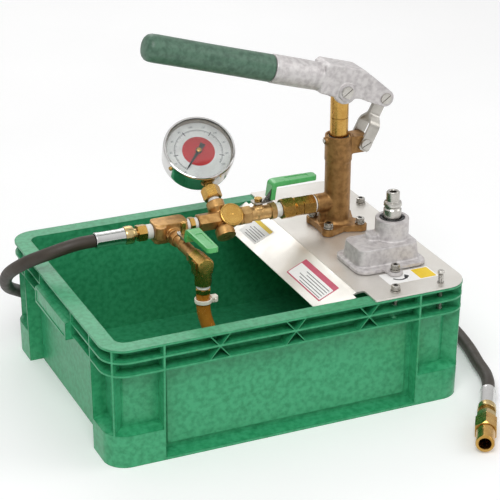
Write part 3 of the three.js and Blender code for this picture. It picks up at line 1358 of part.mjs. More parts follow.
function makeHandle() {
  const h = handle;
  const group = new THREE.Group();
  group.position.set(forkPin.x, pump.y, forkPin.z);
  group.rotation.y = THREE.MathUtils.degToRad(h.tilt);
  model.add(group);

  const [bx, bz] = inHandle(linkPin);
  const axial = (shape) => facing(shape, RIGHT, [0, 0, h.axisHeight]);
  const room = h.forkInside / 2;
  const rodRadius = plunger.diameter / 2 + fit.overrun;
  const cavity = sideways([
    [-h.rodRoom, -2 * h.rodRoom], [h.rodRoom, -2 * h.rodRoom], [h.rodRoom, -h.rodRoom],
    ...arcPoints(0, 0, rodRadius, 0, 180, sides.corner), [-h.rodRoom, -h.rodRoom],
  ], -room, room);
  const slotHalf = link.thickness + fit.gap / 2 + fit.running;
  const casting = cut(
    join(
      axial(cylinder(h.core, h.coreEnd, h.socketEnd + fit.overrun)),
      axial(cylinder(h.socket, h.socketEnd, h.headLeft + fit.overrun, sides.large)),
      handleHead(),
      facing(cylinder(2 * h.bossRadius, -h.forkHalfWidth - h.bossProud, h.forkHalfWidth + h.bossProud), FRONT,
        [0, 0, 0]),
      handleTail([bx, bz]),
    ),
    cavity,
    facing(cylinder(forkPin.diameter + 2 * fit.gap, -h.rodRoom * 2, h.rodRoom * 2, sides.small), FRONT, [0, 0, 0]),
    slab(h.tailSlotStart, bx + 2 * h.tailRadius, -slotHalf, slotHalf, -2 * h.rodRoom, 2 * h.rodRoom),
    facing(cylinder(linkPin.diameter + 2 * fit.gap, -h.rodRoom, h.rodRoom, sides.small), FRONT, [bx, 0, bz]),
  );
  add('handle_casting', casting, 'castAluminium', group);
  add('handle_grip', gripShape(axial), 'gripGreen', group);
  add('fork_pin', headedPin(forkPin.diameter, h.forkHalfWidth + h.bossProud), 'steel', group);
  add('link_pin', headedPin(linkPin.diameter, h.tailHalfWidth).translate(bx, 0, bz), 'steel', group);
}

// The long rubber grip over the core of the handle, closed and rounded at its end.
function gripShape(axial) {
  const h = handle;
  const radius = h.grip / 2;
  const round = radius / 2;
  const end = arcPoints(radius - round, h.gripEnd + round, round, -90, 0, sides.corner);
  const top = h.socketEnd - fit.gap;
  const solid = turned([[0, h.gripEnd], ...end, [radius, top], [0, top]], sides.large);
  return cut(axial(solid), axial(cylinder(h.core + 2 * h.gripPlay, h.coreEnd - fit.gap, top + fit.overrun)));
}

// One strap of the link, on the side of the pump plane that its sign names.
function linkStrap(side) {
  const l = link;
  const length = Math.hypot(linkPin.x - lugPin.x, linkPin.z - lugPin.z);
  const half = l.width / 2;
  const bottom = -length - l.endBelow;
  const near = fit.gap / 2;
  const far = pump.lugHalfWidth + fit.gap;
  const bent = stripOutline([[near, half], [near, -l.joggleTop], [far, -l.joggleBottom], [far, bottom]], l.thickness);
  const strap = endways(side < 0 ? bent.map(([y, z]) => [-y, z]).reverse() : bent, -half, half);
  const reach = far + 2 * l.thickness;
  const plan = sideways([
    ...arcPoints(0, 0, half, 0, 180, sides.medium / 2),
    [-half, bottom + l.endRadius], [-half + l.endRadius, bottom], [half - l.endRadius, bottom],
    [half, bottom + l.endRadius],
  ], -reach, reach);
  return cut(
    common(strap, plan),
    facing(cylinder(linkPin.diameter + 2 * fit.running, -reach, reach, sides.small), FRONT, [0, 0, 0]),
    facing(cylinder(lugPin.diameter + 2 * fit.gap, -reach, reach, sides.small), FRONT, [0, 0, -length]),
  );
}

function makeLinks() {
  const group = new THREE.Group();
  group.position.set(linkPin.x, pump.y, linkPin.z);
  group.rotation.y = Math.atan2(linkPin.x - lugPin.x, linkPin.z - lugPin.z);
  model.add(group);
  const length = Math.hypot(linkPin.x - lugPin.x, linkPin.z - lugPin.z);
  const outside = pump.lugHalfWidth + fit.gap + link.thickness;
  add('link_front', linkStrap(-1), 'steel', group);
  add('link_back', linkStrap(1), 'steel', group);
  add('lug_pin', headedPin(lugPin.diameter, outside).translate(0, 0, -length), 'steel', group);
}

makeTank();
makeCoverPlate();
makeScrews();
makePumpBody();
makeGlandAndPlunger();
makeFootValve();
makeOutletPieces();
makeMainValve();
makeDrainValve();
makeCheckValve();
makeTeeNipple();
makeManifold();
makeDrainElbow();
makeBarbAndTube();
makeDrainTube();
makeGaugeStem();
makeGaugeHead();
makeHoseFittings();
makePressureHose();
makeHoseEnd();
makeGearCase();
makeGearCover();
makeShaftAndGears();
makeHandle();
makeLinks();

export default model;
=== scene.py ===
"""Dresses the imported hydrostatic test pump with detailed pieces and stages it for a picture.

Sizes are in millimetres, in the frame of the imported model: +Z up, the pump at +X, the front at -Y.
"""

import logging
from dataclasses import dataclass
from enum import Enum
from math import atan2, cos, dist, pi, radians, sin, tan, tau
from typing import Sequence

import bmesh
import bpy
from mathutils import Matrix, Vector


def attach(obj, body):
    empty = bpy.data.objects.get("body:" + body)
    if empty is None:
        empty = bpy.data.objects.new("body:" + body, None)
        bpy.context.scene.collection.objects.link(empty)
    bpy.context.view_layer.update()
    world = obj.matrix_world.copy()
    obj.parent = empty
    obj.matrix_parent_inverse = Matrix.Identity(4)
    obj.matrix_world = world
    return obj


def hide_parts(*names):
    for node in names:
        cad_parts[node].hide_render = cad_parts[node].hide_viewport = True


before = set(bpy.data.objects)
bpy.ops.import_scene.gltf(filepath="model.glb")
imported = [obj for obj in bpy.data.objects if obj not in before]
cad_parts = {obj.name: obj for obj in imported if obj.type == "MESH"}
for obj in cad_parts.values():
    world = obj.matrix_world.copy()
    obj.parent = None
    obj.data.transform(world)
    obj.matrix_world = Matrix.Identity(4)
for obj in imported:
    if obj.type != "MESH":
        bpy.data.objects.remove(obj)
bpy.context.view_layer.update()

log = logging.getLogger("test_pump")

Mesh = bpy.types.Mesh
Object = bpy.types.Object
Socket = bpy.types.NodeSocket
Outline = list[tuple[float, float]]
Color = tuple[float, float, float, float]

MM = 0.001
UP = Vector((0, 0, 1))
RIGHT = Vector((1, 0, 0))
LEFT = Vector((-1, 0, 0))
FRONT = Vector((0, -1, 0))
CORNERS = ((1, 1), (-1, 1), (-1, -1), (1, -1))

PUMP_X = 150.5
PIPE_Y = 34.0
PIPE_Z = 180.0
CASE_X = 153.5
CASE_Y = -75.0
BOLT_HALF = 21.0
STUD = (187.1, -156.9)
FRONT_SCREW = (129.0, -157.6)
BACK_SCREW = (209.9, 85.2)
CASE_SCREW = (149.5, -118.0)
SCREW_HOLE = 6.6
WASHER_SEAT = 146.0


# Shapes


def mesh_of(points: Sequence[Sequence[float]], faces: Sequence[Sequence[int]]) -> Mesh:
    """Makes a closed mesh with its faces turned outwards.

    Args:
        points: Corner positions.
        faces: Corner numbers of each face.

    Returns:
        The new mesh.
    """
    mesh = bpy.data.meshes.new("shape")
    mesh.from_pydata([tuple(point) for point in points], [], [tuple(face) for face in faces])
    work = bmesh.new()
    work.from_mesh(mesh)
    bmesh.ops.recalc_face_normals(work, faces=work.faces)
    work.to_mesh(mesh)
    work.free()
    return mesh


def turned(profile: Outline, steps: int = 64) -> Mesh:
    """Turns an outline of radius and height about the Z axis.

    Args:
        profile: The outline. It starts and ends on the axis, or else it closes on itself as a ring.
        steps: Number of faces round the axis.

    Returns:
        The turned mesh.
    """
    points: list[tuple[float, float, float]] = []
    rings: list[list[int]] = []
    for radius, z in profile:
        start = len(points)
        if radius == 0:
            points.append((0.0, 0.0, z))
            rings.append([start] * steps)
            continue
        for step in range(steps):
            angle = tau * step / steps
            points.append((radius * cos(angle), radius * sin(angle), z))
        rings.append(list(range(start, start + steps)))
    pairs = list(zip(rings, rings[1:]))
    if profile[0][0] != 0:
        pairs.append((rings[-1], rings[0]))
    faces = []
    for low, high in pairs:
        for step in range(steps):
            after = (step + 1) % steps
            face = [low[step], low[after], high[after], high[step]]
            faces.append(list(dict.fromkeys(face)))
    return mesh_of(points, faces)


def cylinder(diameter: float, z0: float, z1: float, steps: int = 64) -> Mesh:
    """Makes a closed cylinder along Z."""
    radius = diameter / 2
    return turned([(0, z0), (radius, z0), (radius, z1), (0, z1)], steps)


def ring(outer: float, inner: float, z0: float, z1: float, steps: int = 64) -> Mesh:
    """Makes a ring of square section along Z, from its two diameters."""
    return turned([(inner / 2, z0), (outer / 2, z0), (outer / 2, z1), (inner / 2, z1)], steps)


def ball(diameter: float, steps: int = 32) -> Mesh:
    """Makes a ball about the origin."""
    half = steps // 2
    radius = diameter / 2
    arc = [(radius * sin(pi * k / half), -radius * cos(pi * k / half)) for k in range(half + 1)]
    return turned([(0, -radius), *arc[1:-1], (0, radius)], steps)


def prism(outline: Outline, z0: float, z1: float, top: Outline | None = None) -> Mesh:
    """Stands an outline up along Z.

    Args:
        outline: The outline at the bottom.
        z0: Bottom height.
        z1: Top height.
        top: Another outline of as many points for the top, for a drafted solid.

    Returns:
        The closed mesh.
    """
    count = len(outline)
    points = [(x, y, z0) for x, y in outline] + [(x, y, z1) for x, y in top or outline]
    faces = [list(range(count)), list(range(count, 2 * count))]
    for k in range(count):
        after = (k + 1) % count
        faces.append([k, after, count + after, count + k])
    return mesh_of(points, faces)


def slab(x0: float, x1: float, y0: float, y1: float, z0: float, z1: float) -> Mesh:
    """Makes a block between limits along each axis."""
    return prism([(x0, y0), (x1, y0), (x1, y1), (x0, y1)], z0, z1)


def sideways(outline: Outline, y0: float, y1: float) -> Mesh:
    """Makes a solid from a side view in X and Z between two limits in Y."""
    turn = Matrix(((1, 0, 0, 0), (0, 0, 1, 0), (0, 1, 0, 0), (0, 0, 0, 1)))
    return moved(prism(outline, y0, y1), turn)


def endways(outline: Outline, x0: float, x1: float) -> Mesh:
    """Makes a solid from an end view in Y and Z between two limits in X."""
    turn = Matrix(((0, 0, 1, 0), (1, 0, 0, 0), (0, 1, 0, 0), (0, 0, 0, 1)))
    return moved(prism(outline, x0, x1), turn)


def arc(x: float, y: float, radius: float, start: float, end: float, steps: int = 8) -> Outline:
    """Gives the points of an arc.

    Args:
        x: First coordinate of its centre.
        y: Second coordinate of its centre.
        radius: Its radius.
        start: First angle in degrees.
        end: Last angle in degrees.
        steps: Number of chords.

    Returns:
        The points from start to end.
    """
    angles = [radians(start + (end - start) * k / steps) for k in range(steps + 1)]
    return [(x + radius * cos(angle), y + radius * sin(angle)) for angle in angles]


def rounded_box(length: float, width: float, radius: float, steps: int = 8) -> Outline:
    """Gives a rectangle with round corners about the origin."""
    points: Outline = []
    for quarter, (sx, sy) in enumerate(CORNERS):
        start = 90 * quarter
        points += arc(sx * (length / 2 - radius), sy * (width / 2 - radius), radius, start, start + 90, steps)
    return points


def hexagon(flats: float, z0: float, z1: float, roll: float = 0.0, chamfer: float = 0.5) -> Mesh:
    """Makes a hexagon along Z with its corners turned off at both ends.

    Args:
        flats: Width across flats.
        z0: Bottom height.
        z1: Top height.
        roll: Turn about its axis in radians.
        chamfer: How far the corners are cut back along the axis, as a share of their height over the flats.

    Returns:
        The closed mesh.
    """
    corner = flats / 2 / cos(pi / 6)
    body = prism(arc(0, 0, corner, 0, 300, 5), z0, z1)
    face = flats / 2 * 0.985
    fall = (corner - face) * chamfer
    turn = turned([(0, z0), (face, z0), (corner, z0 + fall), (corner, z1 - fall), (face, z1), (0, z1)], 72)
    return moved(common(body, turn), spin(roll))


def threaded(diameter: float, pitch: float, z0: float, z1: float) -> Mesh:
    """Makes a shank with thread grooves, from its outer diameter and pitch."""
    count = max(1, int((z1 - z0) / pitch))
    step = (z1 - z0) / count
    radius = diameter / 2
    root = radius - pitch * 0.5
    profile: Outline = [(0, z0)]
    for k in range(count):
        foot = z0 + k * step
        profile += [(root, foot), (radius, foot + step * 0.45), (radius, foot + step * 0.55)]
    return turned([*profile, (root, z1), (0, z1)], 48)


def bent_strip(path: Outline, thickness: float, bend: float = 0.0, steps: int = 6) -> Outline:
    """Gives the outline of a strip that follows a path, with its thickness on the path's left.

    Args:
        path: The corner points of one face.
        thickness: Thickness of the strip.
        bend: Radius that rounds the corners of the path, on average.
        steps: Chords in each rounded corner.

    Returns:
        The closed outline.
    """
    line = [Vector(point) for point in path]
    smooth = [line[0]]
    for before, corner, after in zip(line, line[1:], line[2:]):
        if bend <= 0:
            smooth.append(corner)
            continue
        start = corner + (before - corner).normalized() * bend
        end = corner + (after - corner).normalized() * bend
        for k in range(steps + 1):
            t = k / steps
            smooth.append(start * (1 - t) ** 2 + corner * 2 * t * (1 - t) + end * t ** 2)
    smooth.append(line[-1])
    ways = [(b - a).normalized() for a, b in zip(smooth, smooth[1:])]
    other = []
    for k, point in enumerate(smooth):
        before = ways[max(k - 1, 0)]
        after = ways[min(k, len(ways) - 1)]
        normal = Vector((-(before.y + after.y), before.x + after.x)).normalized()
        reach = thickness / max(0.3, normal.dot(Vector((-before.y, before.x))))
        other.append(point + normal * reach)
    return [tuple(point) for point in smooth] + [tuple(point) for point in reversed(other)]


def smooth_route(route: Sequence[Sequence[float]], steps: int = 8) -> list[Vector]:
    """Gives close points on the smooth curve through a route, which is centripetal.

    Args:
        route: Points of the route.
        steps: Points for each stretch.

    Returns:
        The points of the curve.
    """
    points = [Vector(point) for point in route]
    points = [points[0] * 2 - points[1], *points, points[-1] * 2 - points[-2]]
    line = []
    for p0, p1, p2, p3 in zip(points, points[1:], points[2:], points[3:]):
        t0 = 0.0
        t1 = t0 + (p1 - p0).length ** 0.5
        t2 = t1 + (p2 - p1).length ** 0.5
        t3 = t2 + (p3 - p2).length ** 0.5
        for k in range(steps):
            t = t1 + (t2 - t1) * k / steps
            a1 = p0 * ((t1 - t) / (t1 - t0)) + p1 * ((t - t0) / (t1 - t0))
            a2 = p1 * ((t2 - t) / (t2 - t1)) + p2 * ((t - t1) / (t2 - t1))
            a3 = p2 * ((t3 - t) / (t3 - t2)) + p3 * ((t - t2) / (t3 - t2))
            b1 = a1 * ((t2 - t) / (t2 - t0)) + a2 * ((t - t0) / (t2 - t0))
            b2 = a2 * ((t3 - t) / (t3 - t1)) + a3 * ((t - t1) / (t3 - t1))
            line.append(b1 * ((t2 - t) / (t2 - t1)) + b2 * ((t - t1) / (t2 - t1)))
    line.append(points[-2])
    return line


def tube(line: Sequence[Vector], outer: float, inner: float = 0.0, sides: int = 32) -> Mesh:
    """Makes a tube along a line, solid where it has no bore.

    Args:
        line: Close points of its centre line.
        outer: Outer diameter.
        inner: Bore diameter.
        sides: Faces round the tube.

    Returns:
        The closed mesh.
    """
    ways = [(b - a).normalized() for a, b in zip(line, line[1:])]
    ways = [ways[0], *[(a + b).normalized() for a, b in zip(ways, ways[1:])], ways[-1]]
    side = ways[0].orthogonal().normalized()
    circles = []
    for point, way in zip(line, ways):
        side = (side - way * side.dot(way)).normalized()
        circles.append((point, side, way.cross(side)))
    points = []
    loops = [outer / 2, inner / 2] if inner > 0 else [outer / 2]
    for radius in loops:
        for centre, first, second in circles:
            for k in range(sides):
                angle = tau * k / sides
                points.append(centre + (first * cos(angle) + second * sin(angle)) * radius)
    rings = len(line)
    faces = []
    for loop in range(len(loops)):
        base = loop * rings * sides
        for row in range(rings - 1):
            for k in range(sides):
                a = base + row * sides + k
                b = base + row * sides + (k + 1) % sides
                faces.append([a, b, b + sides, a + sides])
    last = (rings - 1) * sides
    if inner > 0:
        shift = rings * sides
        for end in (0, last):
            for k in range(sides):
                after = (k + 1) % sides
                faces.append([end + k, end + after, end + after + shift, end + k + shift])
    else:
        faces += [list(range(sides)), list(range(last, last + sides))]
    return mesh_of(points, faces)


# Work on shapes


def moved(mesh: Mesh, matrix: Matrix) -> Mesh:
    """Moves a mesh in place and keeps its faces turned outwards."""
    mesh.transform(matrix)
    if matrix.is_negative:
        mesh.flip_normals()
    return mesh


def at(x: float, y: float, z: float = 0.0) -> Matrix:
    """Gives a plain move."""
    return Matrix.Translation((x, y, z))


def spin(angle: float) -> Matrix:
    """Gives a turn about the Z axis, in radians."""
    return Matrix.Rotation(angle, 4, "Z")


def aim(place: Sequence[float], direction: Vector, roll: float = 0.0) -> Matrix:
    """Gives the frame that turns +Z to a direction at a place.

    Args:
        place: Where the origin goes.
        direction: Where +Z points.
        roll: Turn about that direction in radians.

    Returns:
        The frame.
    """
    turn = UP.rotation_difference(direction).to_matrix().to_4x4()
    return Matrix.Translation(place) @ turn @ spin(roll)


def linked(name: str, data: bpy.types.ID) -> Object:
    """Makes an object of some data and links it to the scene."""
    made = bpy.data.objects.new(name, data)
    bpy.context.scene.collection.objects.link(made)
    return made


def drum(place: Matrix, diameter: float, z0: float, z1: float, steps: int = 64) -> Mesh:
    """Makes a closed cylinder along the Z axis of a frame."""
    return moved(cylinder(diameter, z0, z1, steps), place)


def changed(mesh: Mesh, *steps: tuple[str, dict]) -> Mesh:
    """Runs modifiers over a mesh.

    Args:
        mesh: The mesh, which is used up.
        steps: The kind of each modifier with its settings.

    Returns:
        The resulting mesh.
    """
    work = linked("work", mesh)
    for kind, settings in steps:
        modifier = work.modifiers.new(kind.lower(), kind)
        for name, value in settings.items():
            setattr(modifier, name, value)
    graph = bpy.context.evaluated_depsgraph_get()
    result = bpy.data.meshes.new_from_object(work.evaluated_get(graph), depsgraph=graph)
    bpy.data.objects.remove(work)
    bpy.data.meshes.remove(mesh)
    return result


def combined(body: Mesh, tools: Sequence[Mesh], operation: str) -> Mesh:
    """Joins, cuts or intersects a mesh with others, which are used up."""
    for tool in tools:
        other = linked("tool", tool)
        body = changed(body, ("BOOLEAN", {"operation": operation, "object": other, "solver": "MANIFOLD"}))
        bpy.data.objects.remove(other)
        bpy.data.meshes.remove(tool)
    return body


def join(body: Mesh, *others: Mesh) -> Mesh:
    """Joins closed meshes into one."""
    return combined(body, others, "UNION")


def cut(body: Mesh, *tools: Mesh) -> Mesh:
    """Cuts closed meshes out of one."""
    return combined(body, tools, "DIFFERENCE")


def common(body: Mesh, other: Mesh) -> Mesh:
    """Keeps what two closed meshes share."""
    return combined(body, [other], "INTERSECT")


def rounded(mesh: Mesh, width: float, segments: int = 2, angle: float = 32.0) -> Mesh:
    """Rounds the sharp edges of a mesh.

    Args:
        mesh: The mesh, which is used up.
        width: How far the rounding reaches from an edge.
        segments: Faces across the rounding.
        angle: Smallest angle in degrees that counts as an edge.

    Returns:
        The rounded mesh.
    """
    flat = {"decimate_type": "DISSOLVE", "angle_limit": radians(0.4)}
    edge = {"width": width, "segments": segments, "limit_method": "ANGLE", "angle_limit": radians(angle)}
    return changed(
        mesh, ("DECIMATE", flat), ("BEVEL", {**edge, "harden_normals": False, "miter_outer": "MITER_ARC"})
    )


def gathered(parts: Sequence[Mesh]) -> Mesh:
    """Puts meshes into one without joining their surfaces."""
    work = bmesh.new()
    for part in parts:
        work.from_mesh(part)
        bpy.data.meshes.remove(part)
    mesh = bpy.data.meshes.new("shape")
    work.to_mesh(mesh)
    work.free()
    return mesh


def cast(parts: Sequence[Mesh], voxel: float = 0.9, passes: int = 8) -> Mesh:
    """Melts overlapping solids into one casting with soft edges and fillets.

    Args:
        parts: The solids, which are used up.
        voxel: Fineness of the surface.
        passes: Rounds of smoothing.

    Returns:
        The casting.
    """
    melt = {"mode": "VOXEL", "voxel_size": voxel, "adaptivity": 0.0}
    soften = {"factor": 0.5, "iterations": passes}
    return changed(gathered(parts), ("REMESH", melt), ("SMOOTH", soften))


# Finishes


class Grain(Enum):
    """The kinds of surface texture."""

    MOULDED = "moulded plastic"
    CAST = "sand-cast metal"
    BRUSHED = "brushed sheet"
    TURNED = "turned metal"
    PLAIN = "plain"


def linear(shade: int, alpha: float = 1.0) -> Color:
    """Turns a colour written as red, green and blue bytes into light levels."""
    bytes_of = [(shade >> 16) & 255, (shade >> 8) & 255, shade & 255]
    levels = [b / 255 for b in bytes_of]
    red, green, blue = [v / 12.92 if v <= 0.04045 else ((v + 0.055) / 1.055) ** 2.4 for v in levels]
    return red, green, blue, alpha


class Nodes:
    """Builds a node tree in few words."""

    def __init__(self, tree: bpy.types.NodeTree) -> None:
        """Keeps the tree and empties it."""
        self.tree = tree
        tree.nodes.clear()

    def add(self, kind: str, sockets: dict | None = None, **settings: object) -> bpy.types.Node:
        """Adds a node.

        Args:
            kind: The node's type without its prefix.
            sockets: Values or output sockets for its inputs, by name or number.
            settings: The node's own settings.

        Returns:
            The node.
        """
        node = self.tree.nodes.new("ShaderNode" + kind)
        for name, value in settings.items():
            setattr(node, name, value)
        for name, value in (sockets or {}).items():
            if isinstance(value, bpy.types.NodeSocket):
                self.tree.links.new(value, node.inputs[name])
            else:
                node.inputs[name].default_value = value
        return node

    def math(self, operation: str, first: Socket | float, second: Socket | float = 0.0) -> Socket:
        """Gives the result of a sum on two numbers."""
        return self.add("Math", {0: first, 1: second}, operation=operation).outputs[0]

    def spread(self, value: Socket, low: float, high: float, start: float, end: float) -> Socket:
        """Maps a value from one range to another and keeps it inside."""
        sockets = {"Value": value, "From Min": low, "From Max": high, "To Min": start, "To Max": end}
        return self.add("MapRange", sockets).outputs["Result"]

    def noise(self, where: Socket, size: float, detail: float = 4.0, roughness: float = 0.55) -> Socket:
        """Gives noise whose features have a size in millimetres."""
        sockets = {"Vector": where, "Scale": 1 / (size * MM), "Detail": detail, "Roughness": roughness}
        return self.add("TexNoise", sockets).outputs[0]

    def mix(self, share: Socket | float, first: Socket | Color, second: Socket | Color,
            kind: str = "MIX") -> Socket:
        """Mixes two colours by a share."""
        node = self.add("Mix", {0: share, 6: first, 7: second}, data_type="RGBA", blend_type=kind)
        return node.outputs[2]


@dataclass(frozen=True)
class Finish:
    """A surface finish as a material of nodes."""

    name: str
    slot: str
    color: int
    grain: Grain = Grain.PLAIN
    second: int | None = None
    patch: float = 25.0
    metallic: float = 0.0
    roughness: float = 0.5
    vary: float = 0.06
    size: float = 0.8
    depth: float = 0.03
    # Lighter colour on convex edges: worn edges on the castings, and a painted highlight along the tank's
    # edges.
    edge: int | None = None
    # Colour of painted shade that darkens recesses and corners.
    recess_shade: int | None = None
    coat: float = 0.0
    transmission: float = 0.0
    alpha: float = 1.0
    along: tuple[float, float, float] = (1.0, 1.0, 1.0)

    def material(self) -> bpy.types.Material:
        """Gives the material, made at its first use."""
        found = bpy.data.materials.get(self.name)
        if found:
            return found
        material = bpy.data.materials.new(self.name)
        material.use_nodes = True
        material.diffuse_color = linear(self.color)
        nodes = Nodes(material.node_tree)
        where = nodes.add("TexCoord").outputs["Object"]
        shader = nodes.add("BsdfPrincipled", {
            "Metallic": self.metallic, "Coat Weight": self.coat, "Coat Roughness": 0.08,
            "Transmission Weight": self.transmission, "Alpha": self.alpha,
        })
        links = material.node_tree.links
        links.new(self.paint(nodes, where), shader.inputs["Base Color"])
        links.new(self.gloss(nodes, where), shader.inputs["Roughness"])
        links.new(self.relief(nodes, where), shader.inputs["Normal"])
        nodes.add("OutputMaterial", {"Surface": shader.outputs[0]})
        return material

    def paint(self, nodes: Nodes, where: Socket) -> Socket:
        """Builds the colour with its patches, edges lightened as wear and painted highlight, and painted shade
        in recesses.

        Args:
            nodes: The node builder.
            where: The place on the surface.

        Returns:
            The colour.
        """
        patches = nodes.spread(nodes.noise(where, self.patch, 5.0), 0.35, 0.65, 0.0, 1.0)
        second = self.second if self.second is not None else self.color
        color = nodes.mix(patches, linear(self.color), linear(second))
        speck = nodes.spread(nodes.noise(where, self.size * 2, 3.0), 0.3, 0.7, 0.93, 1.05)
        color = nodes.mix(1.0, color, nodes.add("CombineColor", {0: speck, 1: speck, 2: speck}).outputs[0],
                          "MULTIPLY")
        # Painted shade: places that ambient occlusion finds closed in turn towards the darker recess colour.
        if self.recess_shade is not None:
            closed = nodes.add("AmbientOcclusion", {"Distance": 5 * MM}, samples=4,
                               only_local=True).outputs["AO"]
            color = nodes.mix(nodes.spread(closed, 0.35, 0.95, 0.75, 0.0), color, linear(self.recess_shade))
        # Lightens convex edges, broken up by noise: partly edge wear, partly painted highlight where edges
        # catch light.
        if self.edge is not None:
            inside = nodes.add("AmbientOcclusion", {"Distance": 1.4 * MM}, samples=4, inside=True,
                               only_local=True)
            bare = nodes.spread(inside.outputs["AO"], 0.45, 0.95, 0.0, 0.7)
            rubbed = nodes.spread(nodes.noise(where, 6.0), 0.35, 0.6, 0.35, 1.0)
            color = nodes.mix(nodes.math("MULTIPLY", bare, rubbed), color, linear(self.edge))
        return color

    def gloss(self, nodes: Nodes, where: Socket) -> Socket:
        """Builds the roughness, which varies with handling marks and wear."""
        marks = nodes.noise(where, self.patch * 0.4, 6.0, 0.65)
        low = max(0.02, self.roughness - self.vary)
        return nodes.spread(marks, 0.3, 0.7, low, min(1.0, self.roughness + self.vary))

    def relief(self, nodes: Nodes, where: Socket) -> Socket:
        """Builds the fine relief of the surface.

        Args:
            nodes: The node builder.
            where: The place on the surface.

        Returns:
            The bumped normal.
        """
        if self.grain is Grain.TURNED:
            height = self.lathe_lines(nodes, where)
        elif self.grain is Grain.BRUSHED:
            along = nodes.add("VectorMath", {0: where, 1: self.along}, operation="MULTIPLY").outputs[0]
            height = nodes.noise(along, self.size, 2.0, 0.7)
        elif self.grain is Grain.CAST:
            fine = nodes.noise(where, self.size, 3.0, 0.6)
            broad = nodes.noise(where, self.size * 6, 2.0)
            height = nodes.math("ADD", fine, nodes.math("MULTIPLY", broad, 2.0))
        else:
            height = nodes.noise(where, self.size, 3.0, 0.5)
        return nodes.add("Bump", {"Height": height, "Distance": self.depth * MM}).outputs[0]

    def lathe_lines(self, nodes: Nodes, where: Socket) -> Socket:
        """Builds fine lines round the Z axis, on the sides and on the end faces."""
        spot = nodes.add("SeparateXYZ", {0: where}).outputs
        reach = nodes.math(
            "SQRT", nodes.math("ADD", nodes.math("POWER", spot[0], 2.0), nodes.math("POWER", spot[1], 2.0))
        )
        facing = nodes.add("SeparateXYZ", {0: nodes.add("TexCoord").outputs["Normal"]}).outputs[2]
        flat = nodes.math("GREATER_THAN", nodes.math("ABSOLUTE", facing), 0.7)
        turn = nodes.add("Mix", {0: flat, 2: spot[2], 3: reach}).outputs[0]
        lines = nodes.add("TexNoise", {"W": turn, "Scale": 1 / (self.size * MM), "Detail": 3.0},
                          noise_dimensions="1D")
        return lines.outputs[0]


